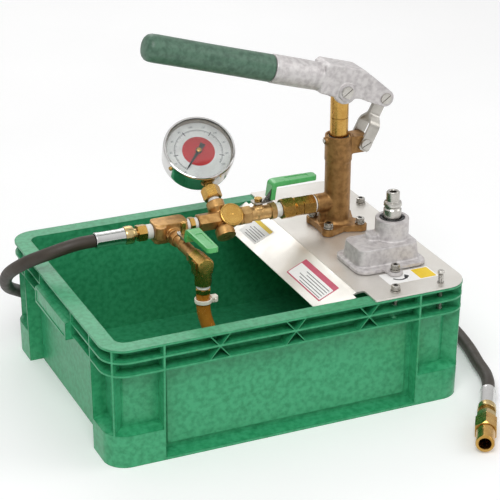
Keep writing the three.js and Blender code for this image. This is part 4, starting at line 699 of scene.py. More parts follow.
class Looks:
    """The finishes of the test pump."""

    # The tank's lighter edge colour is a painted highlight along its moulded edges.
    tank = Finish("moulded green plastic", "tank_plastic", 0x0F7A4A, Grain.MOULDED, 0x128050, 160.0, 0.0,
                  0.38, 0.04, 0.5, 0.012, edge=0x45AE7C)
    sheet = Finish("brushed stainless sheet", "stainless_sheet", 0xE2DFD9, Grain.BRUSHED, 0xD8D4CD, 60.0, 0.7,
                   0.42, 0.07, 0.25, 0.006, along=(1.0, 0.02, 1.0))
    bronze = Finish("cast bronze", "bronze", 0x7A5730, Grain.CAST, 0x644522, 18.0, 0.75, 0.46, 0.08, 0.7,
                    0.09, edge=0xAE8450, recess_shade=0x35240F)
    copper_bronze = Finish("reddish cast bronze", "bronze", 0x9C713E, Grain.CAST, 0x82592B, 14.0, 0.8, 0.4,
                           0.08, 0.6, 0.07, edge=0xD2A76A, recess_shade=0x452E15)
    valve_bronze = Finish("pale cast bronze", "bronze", 0xAB8350, Grain.CAST, 0x946B3B, 12.0, 0.85, 0.4, 0.08,
                          0.6, 0.06, edge=0xD9B57B, recess_shade=0x54391C)
    brass = Finish("turned brass", "brass", 0xCBA35A, Grain.TURNED, 0xB88C46, 14.0, 1.0, 0.26, 0.06, 0.12,
                   0.012, recess_shade=0x6E5022)
    steel = Finish("turned steel", "steel", 0xC4C1BB, Grain.TURNED, 0xB3AFA8, 16.0, 1.0, 0.26, 0.06, 0.14,
                   0.01, recess_shade=0x55524C)
    strap = Finish("brushed steel strap", "steel", 0xBDB9B2, Grain.BRUSHED, 0xAAA69E, 20.0, 0.95, 0.34, 0.06,
                   0.3, 0.008, recess_shade=0x5B5750, along=(1.0, 1.0, 0.04))
    aluminium = Finish("sand-cast aluminium", "cast_aluminium", 0xB3ADAE, Grain.CAST, 0xA49E9F, 22.0, 0.55,
                       0.55, 0.06, 0.9, 0.1, edge=0xDEDBD9, recess_shade=0x67605F)
    chrome = Finish("chrome plate", "chrome", 0xD2D1CF, Grain.TURNED, 0xC8C7C5, 30.0, 1.0, 0.11, 0.04, 0.2,
                    0.003)
    hose = Finish("black hose rubber", "hose_rubber", 0x2E261D, Grain.MOULDED, 0x382F24, 30.0, 0.0, 0.55, 0.1,
                  0.35, 0.02)
    grip = Finish("green grip rubber", "grip_rubber", 0x264736, Grain.MOULDED, 0x294B39, 60.0, 0.0, 0.42,
                  0.03, 0.4, 0.02, edge=0x5B7D68)
    vinyl = Finish("dipped green vinyl", "vinyl", 0x43A553, Grain.MOULDED, 0x55B565, 15.0, 0.0, 0.3, 0.05,
                   1.2, 0.03, coat=0.3)
    nylon = Finish("natural nylon", "nylon", 0xF4F0E4, Grain.MOULDED, 0xECE6D8, 8.0, 0.0, 0.45, 0.05, 0.4,
                   0.01)
    tape = Finish("white thread tape", "nylon", 0xF0EFEB, Grain.BRUSHED, 0xE2E1DC, 4.0, 0.0, 0.5, 0.08, 0.35,
                  0.05, along=(1.0, 1.0, 3.0))
    amber = Finish("amber tube", "amber_tube", 0xE09C3C, Grain.MOULDED, 0xD0882C, 18.0, 0.0, 0.24, 0.05, 1.5,
                   0.02, transmission=0.45)
    dial = Finish("white dial", "dial_face", 0xFBFAF8, Grain.MOULDED, 0xF7F6F3, 20.0, 0.0, 0.5, 0.04, 0.4,
                  0.004)
    ink = Finish("black print", "dial_face", 0x26282B, Grain.MOULDED, 0x303235, 8.0, 0.0, 0.5, 0.05, 0.4,
                 0.004)
    red = Finish("red print", "dial_face", 0xD8141F, Grain.MOULDED, 0xCE121C, 12.0, 0.0, 0.45, 0.05, 0.4,
                 0.004)
    faint = Finish("grey print", "dial_face", 0x85888C, Grain.MOULDED, 0x8D9094, 8.0, 0.0, 0.5, 0.05, 0.4,
                   0.004)
    # Grey-tan colour of the ring inside the gauge case: painted shade and reflection of the case's inner wall.
    wall_shade_and_reflection = Finish("grey-tan liner", "dial_face", 0xA59C8E, Grain.MOULDED, 0x9B9285, 12.0, 0.0, 0.5, 0.05,
                   0.4, 0.01)
    golden = Finish("passivated steel", "brass", 0xC9B486, Grain.TURNED, 0xBBA26E, 9.0, 1.0, 0.22, 0.06, 0.14,
                    0.01)
    rose = Finish("rose print", "dial_face", 0xC9526B, Grain.MOULDED, 0xC24A64, 12.0, 0.0, 0.5, 0.05, 0.4,
                  0.004)
    yellow = Finish("yellow print", "dial_face", 0xF2CF1D, Grain.MOULDED, 0xECC715, 12.0, 0.0, 0.5, 0.05, 0.4,
                    0.004)
    black = Finish("black enamel", "black_enamel", 0x17181A, Grain.MOULDED, 0x1E2022, 10.0, 0.0, 0.35, 0.05,
                   0.5, 0.01)
    seal = Finish("black seal rubber", "hose_rubber", 0x1C1B1A, Grain.MOULDED, 0x242321, 10.0, 0.0, 0.5, 0.06,
                  0.5, 0.02)
    glass = Finish("clear lens", "clear_lens", 0xF8FAFA, Grain.PLAIN, 0xF6F9F9, 60.0, 0.0, 0.04, 0.02, 8.0,
                   0.002, transmission=1.0)


def piece(name: str, mesh: Mesh, finish: Finish, place: Matrix | None = None, body: str = "base",
          node: str = "", crease: float = 34.0, weigh: bool = True) -> Object:
    """Adds a mesh to the pump as one named piece that rides on a body.

    Args:
        name: Name of the piece.
        mesh: Its mesh in millimetres, in its own frame.
        finish: Its finish.
        place: Where its frame stands on the pump.
        body: The body that it moves with.
        node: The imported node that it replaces.
        crease: Smallest angle in degrees that stays sharp.
        weigh: Whether large faces keep flat shading beside their rounded edges.

    Returns:
        The new object.
    """
    mesh.transform(Matrix.Scale(MM, 4))
    mesh.materials.clear()
    mesh.materials.append(finish.material())
    mesh.shade_smooth()
    mesh.set_sharp_from_angle(angle=radians(crease))
    made = linked(name, mesh)
    stand = (place or Matrix()).copy()
    stand.translation *= MM
    made.matrix_world = stand
    if weigh:
        made.modifiers.new("shading", "WEIGHTED_NORMAL").keep_sharp = True
    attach(made, body)
    if node:
        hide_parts(node)
    log.info("%s on %s", name, body)
    return made


# Studio


@dataclass
class Studio:
    """The camera, the lamps, the floor and the white surroundings."""

    stand: tuple[float, float, float] = (-786.0, -1790.0, 1033.0)
    azimuth: float = -24.26
    elevation: float = 24.2
    tilt: float = 0.39
    lens: float = 132.55
    floor_size: float = 12000.0
    floor_glow: float = 0.14

    def build(self) -> None:
        """Sets up everything round the pump."""
        self.add_camera()
        self.add_floor()
        self.add_surroundings()
        self.add_lamp("key", (-900, -1500, 2300), 1500, 34)
        self.add_lamp("fill", (1900, -900, 1500), 1500, 10)
        self.add_lamp("back", (300, 2100, 1900), 1600, 14)
        bpy.context.scene.view_settings.view_transform = "Standard"

    def add_camera(self) -> None:
        """Adds the camera at the picture's viewpoint."""
        around = radians(self.azimuth)
        above = radians(self.elevation)
        roll = radians(self.tilt)
        back = Vector((sin(around) * cos(above), -cos(around) * cos(above), sin(above)))
        level = (-back).cross(UP).normalized()
        upright = level.cross(-back)
        right = level * cos(roll) + upright * sin(roll)
        over = upright * cos(roll) - level * sin(roll)
        camera = linked("camera", bpy.data.cameras.new("camera"))
        turn = Matrix((right, over, back)).transposed().to_4x4()
        camera.matrix_world = Matrix.Translation(Vector(self.stand) * MM) @ turn
        camera.data.lens = self.lens
        camera.data.sensor_width = 36.0
        camera.data.clip_end = 50.0
        bpy.context.scene.camera = camera

    def add_floor(self) -> None:
        """Adds the pale floor, which shows the pump's shadow."""
        half = self.floor_size / 2
        mesh = mesh_of([(-half, -half, 0), (half, -half, 0), (half, half, 0), (-half, half, 0)],
                       [(0, 1, 2, 3)])
        mesh.transform(Matrix.Scale(MM, 4))
        material = bpy.data.materials.new("pale floor")
        material.use_nodes = True
        nodes = Nodes(material.node_tree)
        where = nodes.add("TexCoord").outputs["Object"]
        shade = nodes.spread(nodes.noise(where, 400.0), 0.3, 0.7, 0.9, 0.93)
        color = nodes.add("CombineColor", {0: shade, 1: shade, 2: shade}).outputs[0]
        lit = nodes.add("BsdfDiffuse", {"Color": color})
        glow = nodes.add("Emission", {"Color": (1.0, 1.0, 1.0, 1.0), "Strength": self.floor_glow})
        both = nodes.add("AddShader", {0: lit.outputs[0], 1: glow.outputs[0]})
        nodes.add("OutputMaterial", {"Surface": both.outputs[0]})
        mesh.materials.append(material)
        floor = linked("floor", mesh)

    def add_surroundings(self) -> None:
        """Lights the scene evenly and shows white behind the pump."""
        world = bpy.data.worlds.new("studio")
        bpy.context.scene.world = world
        world.use_nodes = True
        nodes = Nodes(world.node_tree)
        path = nodes.add("LightPath").outputs
        seen = nodes.math("MAXIMUM", path["Is Camera Ray"], path["Is Transmission Ray"])
        height = nodes.add("SeparateXYZ", {0: nodes.add("TexCoord").outputs["Generated"]}).outputs[2]
        mirrored = nodes.spread(height, -0.1, 0.9, 0.62, 1.0)
        level = nodes.add("Mix", {0: path["Is Glossy Ray"], 2: 0.5, 3: mirrored}).outputs[0]
        strength = nodes.add("Mix", {0: seen, 2: level, 3: 1.0}).outputs[0]
        sky = nodes.add("Background", {"Color": (1, 1, 1, 1), "Strength": strength})
        nodes.add("OutputWorld", {"Surface": sky.outputs[0]})

    def add_lamp(self, name: str, place: tuple[float, float, float], size: float, power: float) -> None:
        """Adds a large soft lamp that faces the pump.

        Args:
            name: Name of the lamp.
            place: Where it hangs.
            size: Its width.
            power: Its power in watts.
        """
        lamp = bpy.data.lights.new(name, "AREA")
        lamp.shape = "DISK"
        lamp.size = size * MM
        lamp.energy = power
        made = linked(name, lamp)
        spot = Vector(place) * MM
        made.location = spot
        made.rotation_mode = "QUATERNION"
        made.rotation_quaternion = (Vector((0.02, 0, 0.15)) - spot).to_track_quat("-Z", "Y")


# Hose and drain tube


@dataclass
class PressureHose:
    """The black hose from the manifold round the tank to its end fitting on the floor."""

    diameter: float = 15.0
    length: float = 1.1
    route: tuple[tuple[float, float, float], ...] = (
        (-159.2, 34, 180), (-177, 34, 179.6), (-195, 35.6, 176.2), (-212, 41, 170), (-227.5, 53, 160.5),
        (-239, 72, 146), (-243.5, 95, 129), (-241.5, 118, 111), (-235, 140, 94), (-224.5, 162, 77.5),
        (-207, 180, 62), (-184, 191, 46), (-156, 197.5, 31), (-124, 200, 18.5), (-88, 200.5, 11),
        (-48, 200, 8.2), (0, 199, 7.8), (50, 198, 7.8), (100, 199, 7.8), (145, 200, 7.8),
        (187, 197, 7.8), (224, 184, 7.8), (253, 160, 7.8), (273, 127, 7.8), (284, 88, 7.8),
        (288, 45, 7.8), (288, 3, 7.8), (284.5, -40, 7.9), (277, -82, 8.2), (266, -122, 9.3),
        (258, -152, 11), (247.9, -175.2, 12.3), (237.9, -191, 12.3),
    )

    def build(self, fittings: Sequence[str]) -> None:
        """Args:
            fittings: The pieces on its far end; not used.
        """
        line = smooth_route(self.route)
        hose = piece("hose", tube(line, self.diameter), Looks.hose, node="pressure_hose")


@dataclass
class DrainTube:
    """The amber tube from the drain barb down onto the tank floor."""

    outer: float = 16.0
    bore: float = 12.0
    route: tuple[tuple[float, float, float], ...] = (
        (-66, -65, 140), (-66, -65, 127), (-65, -65.6, 114), (-61.8, -67.5, 101), (-57, -70.2, 88),
        (-50.5, -73.6, 74), (-42.5, -77.4, 60), (-33, -81.2, 46.5), (-24, -84.2, 35.5), (-15, -87.1, 26.6),
        (-5.4, -90.1, 20), (5, -93.4, 15.7), (15.6, -96.7, 13.3), (27, -100.3, 12.4), (40, -104.4, 12.3),
        (52, -108.2, 12.3),
    )

    def build(self) -> None:
        line = smooth_route(self.route)
        made = piece("drain_hose", tube(line, self.outer, self.bore), Looks.amber, node="drain_tube")


# Tank and cover plate


@dataclass
class Tank:
    """The open green tank with its flanges, posts, ribs, braces and hand grips."""

    length: float = 440.0
    width: float = 342.0
    height: float = 143.4
    corner: float = 28.0
    draw: float = 2.6
    rim: float = 19.0
    wall: float = 3.0
    floor: float = 4.0
    inner_corner: float = 12.0
    inner_draw: float = 3.0
    flange: float = 2.6
    middle_top: float = 129.4
    lower_top: float = 113.4
    post: float = 66.5
    side_post: float = 58.0
    ledge: float = 38.0
    ledge_rise: float = 5.0
    ledge_slope: float = 9.0
    rib: float = 2.6
    skirt: float = 5.0
    skirt_foot: float = 3.0
    brace_step: float = 90.0
    brace_half: float = 12.5
    brace: float = 1.6
    grip: float = 106.0
    grip_proud: float = 6.0
    grip_bottom: float = 107.0
    grip_front: float = 127.0
    grip_back: float = 135.0
    grip_wall: float = 2.6
    card_edge: float = 3.0
    card_depth: float = 0.8
    over: float = 2.0
    hole: float = SCREW_HOLE
    holes: tuple[tuple[float, float], ...] = (STUD, FRONT_SCREW, BACK_SCREW)

    def build(self) -> None:
        """Adds the tank with its moulded details."""
        above = self.height + self.over
        envelope = prism(self.outline(0), 0, self.height, self.outline(self.height))
        parts = [
            self.tub(self.wall, -self.over, above), self.band(self.lower_top - self.flange, self.lower_top),
            self.band(self.middle_top - self.flange, self.middle_top),
            self.band(self.height - self.flange, above), self.feet(), *self.ribs(), *self.skirts(),
            *self.braces(), *self.wall_panels()
        ]
        shell = common(join(parts[0], *parts[1:]), envelope)
        ends = (pi, 0.0)
        body = join(shell, *[moved(self.hand_grip(), spin(end)) for end in ends])
        drills = [drum(at(x, y), self.hole, self.lower_top - self.flange - self.over, above, 32) for x,
                  y in self.holes]
        rooms = [moved(self.hand_room(), spin(end)) for end in ends]
        body = cut(body, *rooms, self.tub(0, self.floor, above + self.over), *drills)
        piece("tank_shell", rounded(body, 0.7, 2, 40.0), Looks.tank, node="tank")

    def outline(self, z: float, inset: float = 0.0) -> Outline:
        """Gives the outer outline at a height."""
        drawn = 2 * (self.draw * (1 - z / self.height) + inset)
        return rounded_box(self.length - drawn, self.width - drawn, self.corner - drawn / 2, 12)

    def tub(self, grow: float, z0: float, z1: float) -> Mesh:
        """Makes the inside of the tank, grown outwards by a wall."""
        length = self.length - 2 * (self.rim - grow)
        width = self.width - 2 * (self.rim - grow)
        radius = self.inner_corner + grow
        fall = 2 * self.inner_draw
        low = rounded_box(length - fall, width - fall, radius, 10)
        return prism(low, z0, z1, rounded_box(length, width, radius, 10))

    def band(self, z0: float, z1: float) -> Mesh:
        """Makes a level layer wider than the tank."""
        return slab(-self.length, self.length, -self.width, self.width, z0, z1)

    def sloping(self, z0: float, z1: float, inset: float) -> Mesh:
        """Makes a layer that draws in towards its top."""
        return prism(self.outline(z0, -self.over), z0, z1, self.outline(z1, inset))

    def feet(self) -> Mesh:
        """Makes the solid feet of the four posts."""
        top = self.ledge + self.ledge_rise
        block = join(self.band(-self.over, self.ledge), self.sloping(self.ledge, top, self.ledge_slope))
        half_x = self.length / 2 - self.post
        half_y = self.width / 2 - self.side_post
        low, high = -2 * self.over, top + self.over
        return cut(block, slab(-half_x, half_x, -2 * self.width, 2 * self.width, low, high),
                   slab(-2 * self.length, 2 * self.length, -half_y, half_y, low, high))

    def ribs(self) -> list[Mesh]:
        """Makes the upright ribs at the posts, the corners and the grips."""
        half = self.rib / 2
        low, high = -self.over, self.height + self.over
        x = self.length / 2 - self.post + half
        y = self.width / 2 - self.side_post + half
        g = self.grip / 2 + half
        made = []
        for side in (-1, 1):
            made.append(slab(side * x - half, side * x + half, -self.width, self.width, low, high))
            made.append(slab(-self.length, self.length, side * y - half, side * y + half, low, high))
            made.append(slab(-self.length, self.length, side * g - half, side * g + half,
                             self.lower_top - half, high))
        for quarter, (sx, sy) in enumerate(CORNERS):
            fin = slab(0, 2 * self.corner, -half, half, low, high)
            turn = spin(tau / 8 * (2 * quarter + 1))
            place = at(sx * (self.length / 2 - self.corner), sy * (self.width / 2 - self.corner))
            made.append(moved(fin, place @ turn))
        return made

    def skirts(self) -> list[Mesh]:
        """Makes the low sloping foot along each long side."""
        half = self.length / 2 - self.post + self.rib / 2
        foot = join(
            self.band(-self.over, self.skirt_foot),
            self.sloping(self.skirt_foot, self.skirt, self.rim - self.wall)
        )
        return [common(foot, slab(-half, half, -self.width, self.width, -2 * self.over,
                                  self.skirt + self.over))]

    def braces(self) -> list[Mesh]:
        """Makes the crossed braces under the rim of the long sides."""
        low = self.lower_top - self.flange / 2
        high = self.height - self.flange / 2
        half = self.brace / 2
        made = []
        for place in (-1, 0, 1):
            x = place * self.brace_step
            for way in (-1, 1):
                foot, head = x + way * self.brace_half, x - way * self.brace_half
                outline = [(foot - half, low), (foot + half, low), (head + half, high), (head - half, high)]
                made.append(sideways(outline, -self.width, self.width))
        return made

    def wall_panels(self) -> list[Mesh]:
        """Makes the slightly raised panels in the middle of the long walls."""
        edge, proud, low = 7.0, 1.0, 12.0
        high = self.lower_top - self.flange - edge
        half = self.length / 2 - self.post - edge
        face = self.width / 2 - self.rim + self.wall - self.inner_draw / 2
        return [slab(-half, half, -face - proud, face + proud, low, high)]

    def grip_solid(self, x0: float, x1: float, low: float, drop: float) -> Mesh:
        """Makes a solid with the side view of a hand grip.

        Args:
            x0: Its inner end.
            x1: Its outer end.
            low: Its bottom.
            drop: How far its top and its two sides are drawn in.

        Returns:
            The solid at the right end.
        """
        half = self.grip / 2 - drop
        return sideways([(x0, low), (x1, low), (x1, self.grip_front - drop), (x0, self.grip_back - drop)],
                        -half, half)

    def hand_grip(self) -> Mesh:
        """Makes the hollow hand grip of the right end, with its card face."""
        out = self.length / 2 + self.grip_proud
        face = self.length / 2 - self.rim + self.wall / 2
        outer = self.grip_solid(face, out, self.grip_bottom, 0)
        inner = self.grip_solid(face - self.over, out - self.grip_wall, self.grip_bottom - self.over,
                                self.grip_wall)
        half = self.grip / 2 - self.card_edge
        card = slab(out - self.card_depth, out + 1.0, -half, half, self.grip_bottom + self.card_edge,
                    self.grip_front - self.card_edge)
        return cut(cut(outer, inner), card)

    def hand_room(self) -> Mesh:
        """Makes the room for fingers inside the hand grip of the right end."""
        out = self.length / 2 + self.grip_proud - self.grip_wall
        inside = self.length / 2 - self.rim + self.wall + 0.3
        return self.grip_solid(inside, out, self.grip_bottom - self.over, self.grip_wall)


@dataclass
class CoverPlate:
    """The bent stainless plate over the right part of the tank, with its three stickers."""

    top: float = 145.7
    thickness: float = 2.0
    right: float = 219.0
    tab_left: float = 97.5
    bend: float = 88.0
    slope_end: float = 46.0
    angle: float = 25.0
    corner: float = 27.0
    neck_right: float = 99.0
    neck_half: float = 142.5
    edge: float = 170.7
    inner: float = 150.8
    bend_radius: float = 5.0
    pump_hole: float = 28.6
    holes: tuple[tuple[float, float], ...] = (
        STUD, FRONT_SCREW, BACK_SCREW, CASE_SCREW,
        *((PUMP_X + sx * BOLT_HALF, PIPE_Y + sy * BOLT_HALF) for sy in (-1, 1) for sx in (-1, 1)),
    )

    def build(self) -> None:
        """Adds the plate and its stickers."""
        low = self.top - self.thickness
        front = [(self.bend, -self.neck_half), (self.neck_right - 2, -self.neck_half),
                 (self.tab_left, -self.neck_half - 3), (self.tab_left, -self.edge + 1),
                 (self.tab_left + 1, -self.edge)]
        back = [(x, -y) for x, y in reversed(front)]
        flat = prism(
            [*front, *arc(self.right - self.corner, self.corner - self.edge, self.corner, -90, 0, 12),
             *arc(self.right - self.corner, self.edge - self.corner, self.corner, 0, 90, 12), *back], low,
            self.top
        )
        fall = (self.bend - self.slope_end) * tan(radians(self.angle))
        line = [(self.slope_end, low - fall), (self.bend, low), (self.bend + self.bend_radius + 1, low)]
        strip = sideways(bent_strip(line, self.thickness, self.bend_radius), -self.inner, self.inner)
        keep = slab(0, self.bend - self.bend_radius, -self.inner, self.inner, 0, self.top + 1)
        wide = common(strip, keep)
        neck = sideways(bent_strip(line, self.thickness, self.bend_radius), -self.neck_half, self.neck_half)
        body = join(flat, wide, neck)
        sizes = [(PUMP_X, PIPE_Y, self.pump_hole), *((x, y, SCREW_HOLE) for x, y in self.holes)]
        drills = [drum(at(x, y), size, low - 2, self.top + 2, 40) for x, y, size in sizes]
        window = moved(prism(rounded_box(60.1, 44.8, 9.0), low - 2, self.top + 2), at(CASE_X, CASE_Y))
        body = cut(body, *drills, window)
        piece("plate_sheet", rounded(body, 0.35, 2, 40.0), Looks.sheet, node="cover_plate")
        self.add_stickers()

    def on_slope(self, x: float, y: float) -> Matrix:
        """Gives the frame on the sloping part at a place in X and Y."""
        slope = radians(self.angle)
        rise = self.thickness / cos(slope) - (self.bend - x) * tan(slope)
        return Matrix.Translation((x, y, self.top - self.thickness + rise)) @ Matrix.Rotation(-slope, 4, "Y")

    def add_stickers(self) -> None:
        """Adds the rose, the yellow and the arrow sticker as thin sheets with plain print."""
        rose = self.on_slope(66.0, -74.5)
        long = 86.0
        wide = 28.0
        self.sticker("rose", rose, [(-wide / 2, -long / 2, wide / 2, long / 2)], Looks.rose, 0.0)
        self.sticker("rose_field", rose, [(-wide / 2 + 1.6, -long / 2 + 1.6, 7.0, long / 2 - 1.6)],
                     Looks.dial, 0.12)
        rows = [(-11.0 + 3.4 * k, -38.0, -10.2 + 3.4 * k, 14.0 + 6.0 * (k % 3)) for k in range(5)]
        self.sticker("rose_rows", rose, rows, Looks.ink, 0.2)
        yellow = self.on_slope(65.0, 80.0)
        self.sticker("notice", yellow, [(-14.0, -24.0, 14.0, 24.0)], Looks.dial, 0.0)
        self.sticker("notice_band", yellow, [(8.0, -23.0, 13.2, 23.0)], Looks.yellow, 0.12)
        rows = [(-11.0 + 3.2 * k, -20.0, -10.3 + 3.2 * k, 12.0 + 4.0 * (k % 2)) for k in range(5)]
        self.sticker("notice_rows", yellow, rows, Looks.ink, 0.12)
        sign = at(162.5, -126.5, self.top)
        self.sticker("sign", sign, [(-31.5, -14.0, 31.5, 14.0)], Looks.dial, 0.0)
        self.sticker("sign_square", sign, [(9.0, -12.4, 29.6, 12.4)], Looks.yellow, 0.12)
        self.curved_arrow(sign)

    def sticker(self, name: str, place: Matrix, fields: Sequence[tuple[float, float, float, float]],
                finish: Finish, lift: float) -> None:
        """Adds thin printed fields.

        Args:
            name: Name of the sticker.
            place: Its frame.
            fields: Limits of each field: low X, low Y, high X, high Y.
            finish: The print.
            lift: Height of its underside over the frame.
        """
        sheets = []
        for x0, y0, x1, y1 in fields:
            radius = min(1.2, (x1 - x0) / 3, (y1 - y0) / 3)
            outline = rounded_box(x1 - x0, y1 - y0, radius, 4)
            sheets.append(moved(prism(outline, lift, lift + 0.12), at((x0 + x1) / 2, (y0 + y1) / 2, 0.02)))
        piece(f"sticker_{name}", gathered(sheets), finish, place, weigh=False)

    def curved_arrow(self, place: Matrix) -> None:
        """Adds the plain curved arrow of the sign."""
        outer = arc(-12.0, 2.0, 10.0, 200, 330, 20)
        inner = arc(-12.0, 2.0, 7.6, 330, 200, 20)
        band = prism([*outer, *inner], 0.14, 0.26)
        head = prism([(-5.6, -7.0), (-1.4, -2.6), (0.6, -0.2), (-3.2, 4.4), (-6.2, -1.0)], 0.14, 0.26)
        piece("sticker_arrow", gathered([band, head]), Looks.ink, place, weigh=False)


# Screws


@dataclass
class Screws:
    """The socket-head screws with their washers, and the threaded stud."""

    shank: float = 6.0
    head: float = 10.0
    head_height: float = 6.0
    socket: float = 5.0
    socket_depth: float = 3.0
    washer: float = 12.0
    washer_height: float = 1.6

    def build(self) -> None:
        """Adds every screw and the stud."""
        for k, (sx, sy) in enumerate(((-1, -1), (1, -1), (1, 1), (-1, 1))):
            self.add(f"pump_bolt_{k + 1}", (PUMP_X + BOLT_HALF * sx, PIPE_Y + BOLT_HALF * sy, 154.3), 20.6)
        self.add("plate_screw_front", (*FRONT_SCREW, WASHER_SEAT), 16.6)
        self.add("plate_screw_back", (*BACK_SCREW, WASHER_SEAT), 16.6)
        self.add("case_screw", (*CASE_SCREW, 151.3), 17.0)
        nut = cut(hexagon(10.0, 135.6, 140.5, 0.4), cylinder(6.2, 130, 145, 32))
        piece("plate_nut_front", nut, Looks.steel, at(*FRONT_SCREW))
        self.add_stud()

    def add(self, node: str, place: tuple[float, float, float], reach: float) -> None:
        """Adds a socket-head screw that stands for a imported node.

        Args:
            node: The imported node.
            place: Where its washer rests.
            reach: Length of its shank below that.
        """
        seat = self.washer_height
        top = seat + self.head_height
        half = self.head / 2
        head = turned([(0, seat), (half - 0.3, seat), (half, seat + 0.3), (half, top - 0.8),
                       (half - 0.2, top - 0.3), (half - 0.8, top), (0, top)], 64)
        well = moved(prism(arc(0, 0, self.socket / 2 / cos(pi / 6), 0, 300, 5), top - self.socket_depth,
                           top + 1), spin(0.3 * len(node)))
        rim = turned([(0, top - 0.5), (self.socket * 0.56, top - 0.02), (self.socket * 0.6, top + 0.1),
                      (0, top + 0.1)], 48)
        knurl = [drum(spin(tau * k / 40) @ at(half + 0.08, 0), 0.5, seat + 0.8, top - 1.3, 8)
                 for k in range(40)]
        head = cut(head, well, rim)
        washer = ring(self.washer, self.shank + 0.4, 0, seat, 64)
        shank = threaded(self.shank, 1.0, -reach, seat + 1.0)
        body = gathered([head, rounded(washer, 0.25), shank, *knurl])
        piece(f"{node}_steel", body, Looks.steel, at(*place), node=node)

    def add_stud(self) -> None:
        """Adds the threaded stud with its washer."""
        low, high, seat = 110.8, 160.7, WASHER_SEAT
        tip = threaded(self.shank, 1.0, low, high - 3.0)
        point = turned([(0, high - 3.4), (3.5, high - 3.4), (3.8, high - 3.1), (3.8, high - 0.6), (3.2, high),
                        (0, high)], 48)
        washer = moved(rounded(ring(8.0, 6.2, 0, 0.8), 0.2), at(0, 0, seat))
        piece("plate_stud_steel", gathered([tip, point, washer]), Looks.steel, at(*STUD), node="plate_stud")


# Pump column and lever


